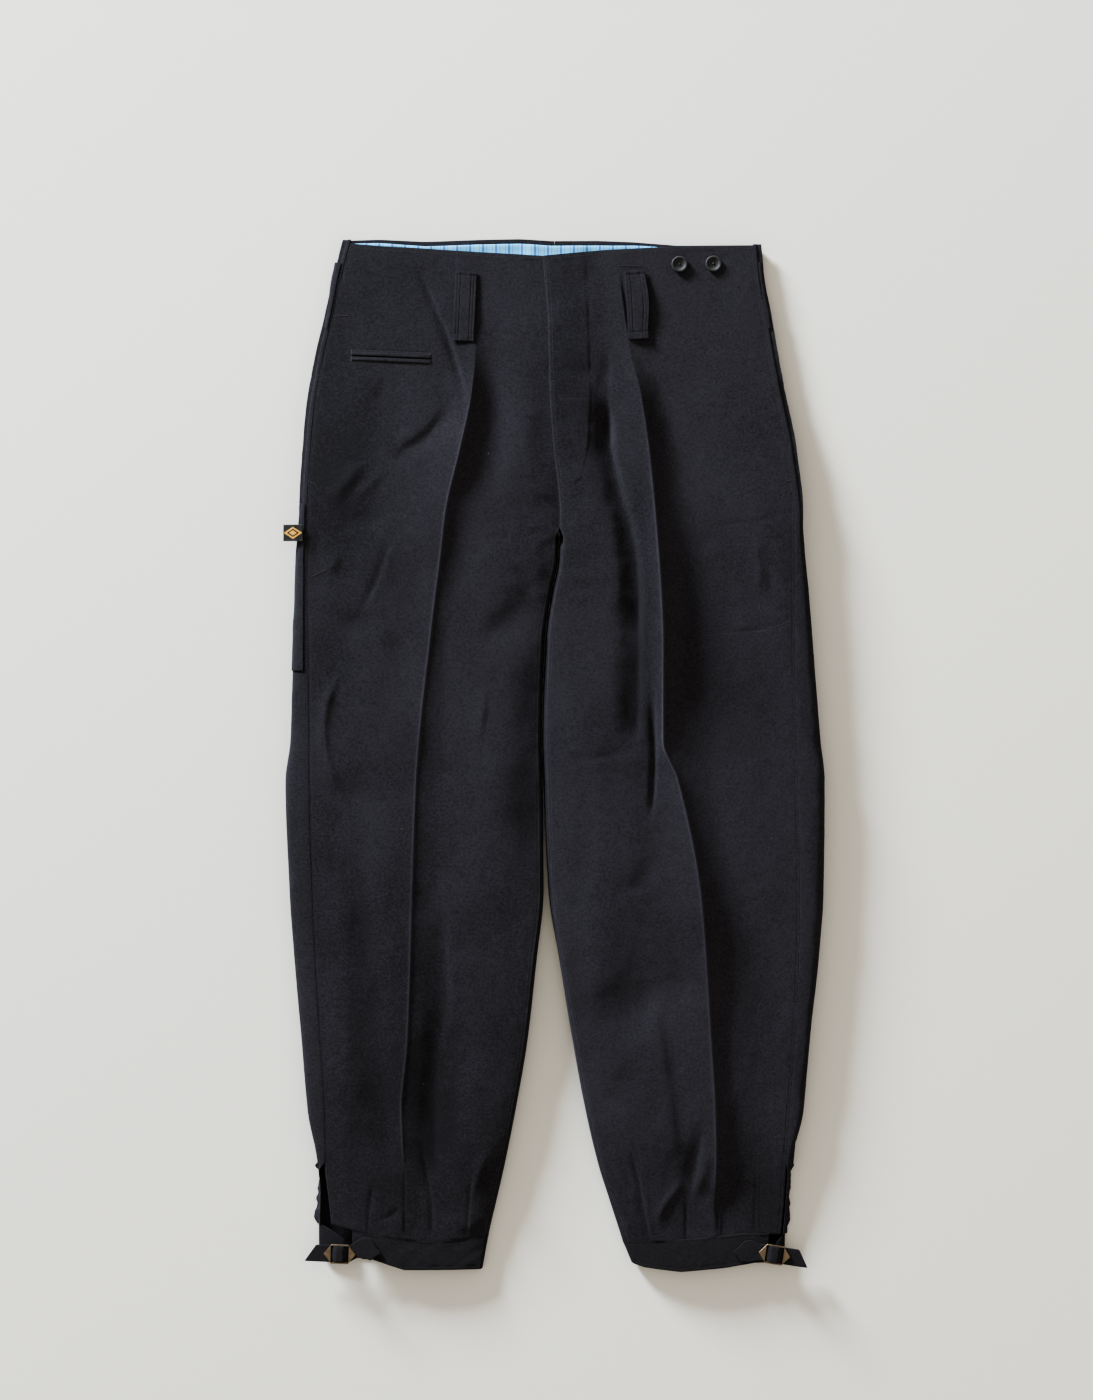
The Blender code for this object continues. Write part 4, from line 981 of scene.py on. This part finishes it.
# Each buckle's place and tilt, with the bend of the strap as sideways shifts at places along it.
buckles = {
    "right": {
        "x": -214.5, "drop": 1012.5, "z": 16.6, "tilt": -2.0,
        "bendAt": (9, 20, 28, 39.5), "bend": (0, 6.5, 6.5, 2.4),
    },
    "left": {
        "x": 219.5, "drop": 1013.0, "z": 16.6, "tilt": -9.0,
        "bendAt": (9, 26, 39.5, 40), "bend": (0, -1.0, -3.8, -3.8),
    },
}
frameShape = {
    "outline": ((-16, 0), (-8.5, 9.7), (8.5, 9.7), (16, 0), (8.5, -9.7), (-8.5, -9.7)),
    "slotX": 8.8,
    "slotY": 8.1,
    "bar": 1.1,
    "thick": 1.5,
    "round": 0.45,
}
straps = {
    "thick": 2.0, "width": 15.0, "tail": 28.5, "slant": 5.0, "tabWidth": 20.0, "tabTip": 39.5, "crown": 0.8,
}


def bucklePlace(spec, x, y, z):
    # Turned by the buckle's tilt, then moved to its place.
    turn = math.radians(spec["tilt"])
    placedX = spec["x"] + x * math.cos(turn) - y * math.sin(turn)
    placedY = halfLength - spec["drop"] + x * math.sin(turn) + y * math.cos(turn)
    return np.stack(np.broadcast_arrays(placedX, placedY, z), axis=-1)


def strapMiddle(leg, along, edge):
    # Middle points of a strap at places along it from its buckle, and from edge to edge.
    spec = buckles[leg["name"]]
    along = along[:, None]
    tab = smoothStep(along, 16, 24)
    half = straps["width"] / 2 + (straps["tabWidth"] - straps["width"]) / 2 * tab
    half = half * (1 - 0.86 * smoothStep(along, 30, straps["tabTip"]))
    slant = straps["slant"] * smoothStep(-along, 22, straps["tail"])
    x = -leg["side"] * (along + slant * edge[None, :])
    y = edge[None, :] * half + np.interp(along, spec["bendAt"], spec["bend"])
    under = spec["z"] - frameShape["thick"] / 2 - seamGap - straps["thick"]
    over = spec["z"] + frameShape["thick"] / 2 + seamGap
    hump = 1 - smoothStep(np.abs(along), frameShape["bar"] + 1.2, frameShape["slotX"] - 0.9)
    placed = bucklePlace(spec, x, y, under + (over - under) * hump)
    cuff = cuffHeight(leg, placed[..., 0], halfLength - placed[..., 1]).max(axis=1, keepdims=True) + 0.5
    seated = smoothStep(along, 12, 26)
    placed[..., 2] = np.maximum(placed[..., 2] * (1 - seated) + cuff * seated, cuff) + straps["thick"] / 2
    return placed


def makeStrap(leg):
    # From the tab's point through the buckle to the tail, crowned where it passes over the bar.
    along = np.concatenate([
        np.linspace(straps["tabTip"], 10, 60), np.linspace(9.6, -9.6, 60), np.linspace(-10, -straps["tail"], 36),
    ])
    edge = np.linspace(-1, 1, 24)
    mid = strapMiddle(leg, along, edge)
    crowned = (1 - edge ** 4)[None, :] * smoothStep(9.5 - np.abs(along), 0, 3)[:, None]
    mid[..., 2] += wave("strap", mid[..., 0], mid[..., 1], leg) + straps["crown"] * crowned
    name = leg["name"]
    return clothSlab("strap" + name.title(), "strap_" + name, mid, leg["side"] > 0, straps["thick"], shadedCuffMaterial)


def makeBuckle(leg):
    # A six-sided frame with a bar across its middle: an outline with two slots, extruded and rounded.
    spec, shape = buckles[leg["name"]], frameShape
    work = bmesh.new()
    edges = []
    high = shape["slotY"]
    slots = ((-shape["slotX"], -shape["bar"]), (shape["bar"], shape["slotX"]))
    for outline in (shape["outline"], *(((a, -high), (b, -high), (b, high), (a, high)) for a, b in slots)):
        x, y = np.array(outline, float).T
        verts = [work.verts.new(p) for p in bucklePlace(spec, x, y, spec["z"] - shape["thick"] / 2)]
        edges += [work.edges.new(pair) for pair in zip(verts, verts[1:] + verts[:1])]
    bmesh.ops.triangle_fill(work, edges=edges, use_beauty=True)
    raised = bmesh.ops.extrude_face_region(work, geom=work.faces[:])
    moved = [v for v in raised["geom"] if isinstance(v, bmesh.types.BMVert)]
    bmesh.ops.translate(work, verts=moved, vec=(0, 0, shape["thick"]))
    bmesh.ops.recalc_face_normals(work, faces=work.faces)
    sharp = [e for e in work.edges if len(e.link_faces) == 2 and e.calc_face_angle() > 0.5]
    bmesh.ops.bevel(
        work, geom=sharp, offset=shape["round"], segments=3, profile=0.5, affect="EDGES", clamp_overlap=True
    )
    bmesh.ops.scale(work, vec=(millimetre,) * 3, verts=work.verts)
    mesh = bpy.data.meshes.new("buckle" + leg["name"].title())
    work.to_mesh(mesh)
    work.free()
    mesh.materials.append(brassMaterial)
    made = linked(mesh.name, mesh)
    smoothUpTo(made, 38)
    return settle(made, "brass", "buckle_" + leg["name"])


# Loops, pocket and label

# A strip is its top end's x and drop, its low end's x and drop, and its width.
# A dip is pressed in by stitching: its place from the middle or along, its width and its depth.
loops = {
    "thick": 1.3,
    "rise": 0.4,
    "strips": {"right": (-88, 32, -91, 101, 20.0), "left": (80, 31, 84, 99, 19.0)},
    "twist": {"right": 0.0, "left": 1.0},
    "dipsAcross": ((0.52, 0.06, 0.5), (0.8, 0.05, 0.3)),
    "dipsAlong": ((0.9, 0.012, 0.5), (0.05, 0.015, 0.5)),
}
# Pieces round the outer edge: from and to in drop and in degrees round it. The loops stand out at each end.
sideLoops = {
    "thick": 0.5,
    "drops": (22, 88, 70),
    "angles": (8, 112, 40),
    "out": {"right": (4.6, 0.8), "left": (2.6, 3.4)},
}
toolPocket = {"thick": 0.7, "drops": (264, 430, 160), "angles": (5, 130, 48)}
lips = {
    "thick": 0.32,
    "crown": 0.35,
    "strips": {"upper": (-202, 113.1, -124, 117.0, 3.4), "lower": (-202, 118.2, -124, 122.1, 3.4)},
}
flagLabel = {"thick": 0.7, "x": (-270, -251, 50), "drop": (285, 301, 36), "middle": (-260.6, 293.0), "droop": 2.2}
facing = {"thick": 0.8, "x": (-204, 188, 240), "depth": (0, 39, 24), "height": 2.3, "topRise": 0.9}


def makeLoop(leg):
    # A strip over the cloth that lifts along its middle, twists where it is free and dips along its stitching.
    name, along, across = leg["name"], np.linspace(0, 1, 90), np.linspace(-1, 1, 61)
    x, drop = stripGrid(loops["strips"][name], along, across)
    base = clothHeight(leg, x, drop) + seamGap + loops["thick"] / 2
    base = np.maximum(base, 0.5 * (base + base.max(axis=1, keepdims=True)))
    lift = loops["rise"] * np.sin(math.pi * np.clip((along - 0.06) / 0.88, 0, 1)) ** 0.6
    free = loops["twist"][name] * np.sin(math.pi * np.clip((along - 0.05) / 0.8, 0, 1))[:, None]
    x = x + 1.3 * free * (1 - across)
    z = base + lift[:, None] - 0.9 * free * across
    for place, width, depth in loops["dipsAcross"]:
        z = z - depth * bell(np.abs(across) - place, width)
    for place, width, depth in loops["dipsAlong"]:
        z = z - depth * bell(along - place, width)[:, None]
    z = z + wave("loop", x, drop, leg)
    return clothSlab("loop" + name.title(), "belt_loop_" + name, gridPoints(x, drop, z), True, loops["thick"])


def roundEdge(leg, spec, lift):
    # Points round a back's outer edge, moved out by lift, one row for each drop.
    drops, angles = np.linspace(*spec["drops"]), np.radians(np.linspace(*spec["angles"]))
    x, z = outerRoll(leg, drops[:, None], angles, lift)
    return drops, angles, gridPoints(x, drops[:, None], z)


def makeSideLoop(leg):
    # It stands out from the edge by amounts that go evenly from its top to its low end.
    name, thick = leg["name"], sideLoops["thick"]
    drops, angles, mid = roundEdge(leg, sideLoops, 0.15 + thick / 2)
    out = np.linspace(*sideLoops["out"][name], len(drops)) + wave("sideLoop", drops, drops, leg)
    mid[..., 0] += leg["side"] * out[:, None] * np.sin(np.minimum(angles, math.pi / 2)) ** 0.6
    return clothSlab("loopSide" + name.title(), "belt_loop_side_" + name, mid, leg["side"] < 0, thick)


def makeToolPocket():
    # It lies on the right back's outer edge.
    mid = roundEdge(rightLeg, toolPocket, seamGap + toolPocket["thick"] / 2)[2]
    mid[..., 0] += wave("toolPocket", mid[..., 1], mid[..., 2])
    return clothSlab("toolPocket", "tool_pocket", mid, True, toolPocket["thick"])


def makeLip(name):
    # Crowned by 1 less the fourth power of the place from its middle.
    along, across = np.linspace(0, 1, 100), np.linspace(-1, 1, 12)
    x, drop = stripGrid(lips["strips"][name], along, across)
    base = clothHeight(rightLeg, x, drop).max(axis=1, keepdims=True) + seamGap
    z = base + lips["crown"] * (1 - across ** 4) + wave("lip", x, drop)
    return clothSlab("lip" + name.title(), "pocket_lip_" + name, gridPoints(x, drop, z), True, lips["thick"])


def makeLabelPiece():
    # Level over the pocket's edge, drooping outwards from it.
    x, drop = np.meshgrid(np.linspace(*flagLabel["x"]), np.linspace(*flagLabel["drop"]))
    middle = flagLabel["middle"]
    _, pocketTop = outerRoll(rightLeg, np.array(middle[1]), np.radians(12), seamGap + clothThickness)
    droop = flagLabel["droop"] * np.clip((-252 - x) / 18, 0, 1) ** 1.5
    z = pocketTop + 1.0 - droop + wave("label", x, drop)
    made = slabPiece("flagLabel", gridPoints(x, drop, z), False, flagLabel["thick"], labelMaterial, middle)
    return settle(made, "label", "label")


def makeFacing():
    # It follows the back's waist edge a little below it, and rises along its own top.
    x, depth = np.linspace(*facing["x"]), np.linspace(*facing["depth"])[:, None]
    start = 3.4 + 1.5 * smoothStep(x, -200, -110) - 1.7 * smoothStep(x, 40, 100)
    drop = edgeLine(waistBack, x) + start + depth
    z = facing["height"] + wave("facing", x, drop) + facing["topRise"] * bell(depth, 5)
    made = slabPiece("waistFacing", gridPoints(x, drop, z), False, facing["thick"], facingMaterial)
    return settle(made, "facing", "waist_facing")


# Buttons

# The profile is radius and height, from the middle of the face over the rim to the middle of the back.
button = {
    "profile": (
        (2.8, 0.85), (4.2, 1.0), (5.0, 1.35), (5.7, 1.9), (6.5, 2.25), (7.2, 2.3),
        (7.8, 2.05), (8.15, 1.6), (8.2, 1.2), (7.9, 0.7), (7.2, 0.25), (6.0, 0.0),
    ),
    "steps": 72,
    "seatRadius": 6.0,
    "holePlace": 1.6,
    "holeRadius": 0.75,
    "places": {"Inner": (125.0, 24.0), "Outer": (159.0, 23.5)},
    "thread": {"radius": 0.2, "apart": 0.22, "above": 0.4, "bow": (0.75, 0.9)},
}


def makeButton(name, x, drop):
    # The profile turned round the middle and closed by a flat face at each end, then drilled with four holes.
    turns = np.linspace(0, 2 * math.pi, button["steps"], endpoint=False)
    circle = np.stack([np.cos(turns), np.sin(turns)])
    seatX, seatDrop = np.array([[x], [drop]]) + button["seatRadius"] * circle
    seat = clothHeight(leftLeg, seatX, seatDrop).max() + seamGap
    middle = np.array([x, halfLength - drop, seat])
    radius, height = np.array(button["profile"]).T[..., None]
    points = np.stack(np.broadcast_arrays(radius * circle[0], radius * circle[1], height), axis=-1) + middle
    steps, total = len(turns), points.size // 3
    faces = gridFaces(len(points), steps, closed=True).tolist()
    mesh = bpy.data.meshes.new(name)
    ends = [list(range(steps)), list(range(total - 1, total - steps - 1, -1))]
    corners = points.reshape(-1, 3).astype(np.float32) * np.float32(millimetre)
    mesh.from_pydata(corners.tolist(), [], faces + ends)
    mesh.materials.append(hornMaterial)
    made = linked(name, mesh)
    holes = np.radians((45, 135, 225, 315))
    places = middle + button["holePlace"] * np.stack([np.cos(holes), np.sin(holes), 0 * holes], axis=-1)
    for place in places:
        bpy.ops.mesh.primitive_cylinder_add(
            vertices=20, radius=button["holeRadius"] * millimetre, depth=0.012, location=place * millimetre
        )
        drill = bpy.context.object
        cut = made.modifiers.new("hole", "BOOLEAN")
        cut.object = drill
        cut.operation = "DIFFERENCE"
        bpy.context.view_layer.objects.active = made
        bpy.ops.object.modifier_apply(modifier="hole")
        bpy.data.objects.remove(drill, do_unlink=True)
    smoothUpTo(made, 40)
    return made, places


def cordBetween(start, end, bow, radius, steps=14, around=8):
    # A short thread from start to end that bows up between them as half a sine wave.
    t = np.linspace(0, 1, steps)[:, None]
    upright = np.array([0, 0, 1.0])
    middle = start + (end - start) * t + upright * bow * np.sin(math.pi * t)
    along = unit(np.gradient(middle, axis=0))
    side = unit(np.cross(along, upright))
    up = np.cross(side, along)
    turns = np.linspace(0, 2 * math.pi, around, endpoint=False)[None, :, None]
    ring = middle[:, None] + radius * (side[:, None] * np.cos(turns) + up[:, None] * np.sin(turns))
    return ring.reshape(-1, 3), gridFaces(steps, around, True, closed=True)


def joined(parts):
    # One mesh from several: each part's faces count on from the points before them.
    points, faces, start = [], [], 0
    for somePoints, someFaces in parts:
        points.append(somePoints)
        faces.append(someFaces + start)
        start += len(somePoints)
    return np.concatenate(points), np.concatenate(faces)


def makeButtons():
    thread = button["thread"]
    for name, place in button["places"].items():
        made, holes = makeButton("button" + name, *place)
        settle(made, "horn", "brace_button_" + name.lower())
        cords = []
        for first, bow in enumerate(thread["bow"]):
            for shift in (-thread["apart"], thread["apart"]):
                apart = np.array([shift, shift if first else -shift, thread["above"]])
                cords.append(cordBetween(holes[first] + apart, holes[first + 2] + apart, bow, thread["radius"]))
        settle(meshObject("button" + name + "Thread", *joined(cords), threadMaterial), "cloth")


legs = (rightLeg, leftLeg)
for someLeg in legs:
    for makeOne in (makeCuff, makeStrap, makeBuckle, makeSideLoop):
        makeOne(someLeg)
for someLeg in legs:
    makeLoop(someLeg)
makeToolPocket()
for lipName in lips["strips"]:
    makeLip(lipName)
makeLabelPiece()
makeFacing()
makeButtons()
print("trimmings made")

# Stitches

# Each run's places are x and drop.
stitches = {"step": 3.0, "length": 2.3, "width": 0.42, "sink": 0.02, "edgeInset": 3.2}
frameStitch = ((-203.5, 109.5), (-123, 113.6), (-123.5, 125.8), (-203.5, 121.2), (-203.5, 109.5))
frameEnds = (((-202.5, 110), (-202.5, 121.5)), ((-124, 114), (-124, 125.5)))
rightTacks = (((-221, 76), (-206, 75)), ((-246, 240), (-237, 246)), ((-243, 337), (-228, 330)))
leftTacks = (((192, 73), (207, 80)), ((231, 241), (241, 240)))
flyBars = (((6, 159), (34, 159)), ((6, 160.4), (34, 160.4)))
kneePatch = (((150, 283), (203, 281), (241, 273)), ((150, 395), (206, 391), (241, 379)))
loopTop = ((63.5, 25.5), (85.5, 25.5))
placket = ((187.5, 912.5), (203.5, 912.5), (203.5, 990))


def alongPath(path, step):
    # Evenly spaced places along a line of points, with the direction there.
    path = np.array(path, float)
    total = np.concatenate([[0], np.cumsum(np.hypot(*np.diff(path, axis=0).T))])
    places = np.arange(step / 2, total[-1], step)
    behind, at, ahead = (
        np.stack([np.interp(places + shift, total, path[:, k]) for k in (0, 1)], axis=-1) for shift in (-0.5, 0, 0.5)
    )
    return at, unit(ahead - behind)


def stitchRun(leg, path, step=stitches["step"], length=stitches["length"], width=stitches["width"]):
    # One pointed dash for each place: a long eight-sided bead that follows the surface.
    at, heading = alongPath(path, step)
    dice = np.random.default_rng(len(at))
    heading = unit(heading + dice.normal(0, 0.05, heading.shape))
    side = np.stack([-heading[:, 1], heading[:, 0]], axis=-1)
    shares, full = np.array([-0.5, -0.25, 0.25, 0.5]), np.array([0.0, 1.0, 1.0, 0.0])
    spine = at[:, None] + heading[:, None] * (shares * length)[None, :, None]
    z = clothHeight(leg, spine[..., 0], spine[..., 1]) - stitches["sink"]
    high, wide = full * width * 0.55, full * width * 0.5
    rows = []
    for across, up in ((0, 1), (1, 0), (0, -1), (-1, 0)):
        place = spine + side[:, None] * (wide * across)[None, :, None]
        rows.append(gridPoints(place[..., 0], place[..., 1], z + high * up))
    single = gridFaces(4, 4, closed=True)
    faces = single[None] + (np.arange(len(at)) * 16)[:, None, None]
    return np.stack(rows, axis=2).reshape(-1, 3), faces.reshape(-1, 4)


def seamPath(leg, start, end, inset):
    # Lines of places for the stitches: along the side seam, the inner edge, the fly and the waist.
    drops = np.linspace(start, end, 120)
    return np.stack([column(leg, "seam", drops) - leg["side"] * inset, drops], axis=-1)


def innerPath(leg, start, end, inset):
    drops = np.linspace(start, end, 90)
    return np.stack([inseam(leg, drops) + leg["side"] * inset, drops], axis=-1)


def flyPath():
    drops = np.concatenate([np.linspace(12, 236, 60), (240, 244, 249, 255, 262)])
    return np.stack([flyLine(drops), drops], axis=-1)


def waistPath(start, end):
    x = np.linspace(start, end, 60)
    return np.stack([x, edgeLine(waistFront, x) + stitches["edgeInset"]], axis=-1)


def makeStitches():
    runs = []
    for leg in legs:
        runs.append(stitchRun(leg, seamPath(leg, 8, 985, fronts["stitchInset"])))
        runs.append(stitchRun(leg, innerPath(leg, 312, 985, stitches["edgeInset"])))
    runs.append(stitchRun(leftLeg, flyPath()))
    runs.append(stitchRun(leftLeg, innerPath(leftLeg, 20, 262, 3.4)))
    runs += [stitchRun(leftLeg, path, 1.3, 1.2) for path in flyBars]
    runs.append(stitchRun(rightLeg, waistPath(-200, -12)))
    runs.append(stitchRun(leftLeg, waistPath(-8, 198)))
    runs.append(stitchRun(rightLeg, frameStitch, 2.4, 1.8))
    runs += [stitchRun(rightLeg, path, 0.9, 1.0, 1.1) for path in frameEnds]
    for leg, tacks in ((rightLeg, rightTacks), (leftLeg, leftTacks)):
        runs += [stitchRun(leg, path, 0.8, 0.9, 0.7) for path in tacks]
    runs += [stitchRun(leftLeg, path) for path in kneePatch]
    runs.append(stitchRun(leftLeg, loopTop, 1.0, 1.0, 0.6))
    runs.append(stitchRun(leftLeg, placket))
    settle(meshObject("stitches", *joined(runs), threadMaterial), "cloth")


makeStitches()
print("stitches made")

# Floor, light and camera

floorHalf, floorHeight = 4, -0.0006
paper = {"Base Color": (0.685, 0.685, 0.66, 1), "Roughness": 0.9, "Specular IOR Level": 0.1}
keyLamp = {"place": (-4.1, 5.0, 1.45), "power": 1700, "size": 1.3, "colour": (0.86, 0.93, 0.98)}
sky = {"Color": (1.0, 0.915, 0.79, 1), "Strength": 0.73}
cameraPlace, sensorWidth = (-0.008, 0.0555, 3.21), 36.0
lensLength = sensorWidth * 3.2 / 1.093


def makeFloor():
    mesh = bpy.data.meshes.new("paperFloor")
    corners = [(x * floorHalf, y * floorHalf, floorHeight) for x, y in ((-1, -1), (1, -1), (1, 1), (-1, 1))]
    mesh.from_pydata(corners, [], [(0, 1, 2, 3)])
    made, tree, shader = newMaterial("palePaper")
    feed(tree, shader, paper)
    mesh.materials.append(made)
    floor = linked("paperFloor", mesh)


def makeLamp():
    lamp = bpy.data.lights.new("key", "AREA")
    lamp.energy, lamp.size, lamp.color = keyLamp["power"], keyLamp["size"], keyLamp["colour"]
    made = linked("key", lamp)
    made.location = keyLamp["place"]
    made.rotation_euler = (-Vector(keyLamp["place"])).to_track_quat("-Z", "Y").to_euler()


def makeWorld():
    world = bpy.data.worlds.new("studio")
    world.use_nodes = True
    feed(world.node_tree, world.node_tree.nodes["Background"], sky)
    bpy.context.scene.world = world


def makeCamera():
    data = bpy.data.cameras.new("camera")
    data.sensor_fit, data.sensor_width, data.lens = "HORIZONTAL", sensorWidth, lensLength
    camera = linked("camera", data)
    camera.location = cameraPlace
    bpy.context.scene.camera = camera


makeFloor()
makeLamp()
makeWorld()
makeCamera()
bpy.context.scene.view_settings.view_transform = "AgX"
bpy.context.scene.view_settings.look = "AgX - High Contrast"
print("floor, light and camera made")
writeSize()
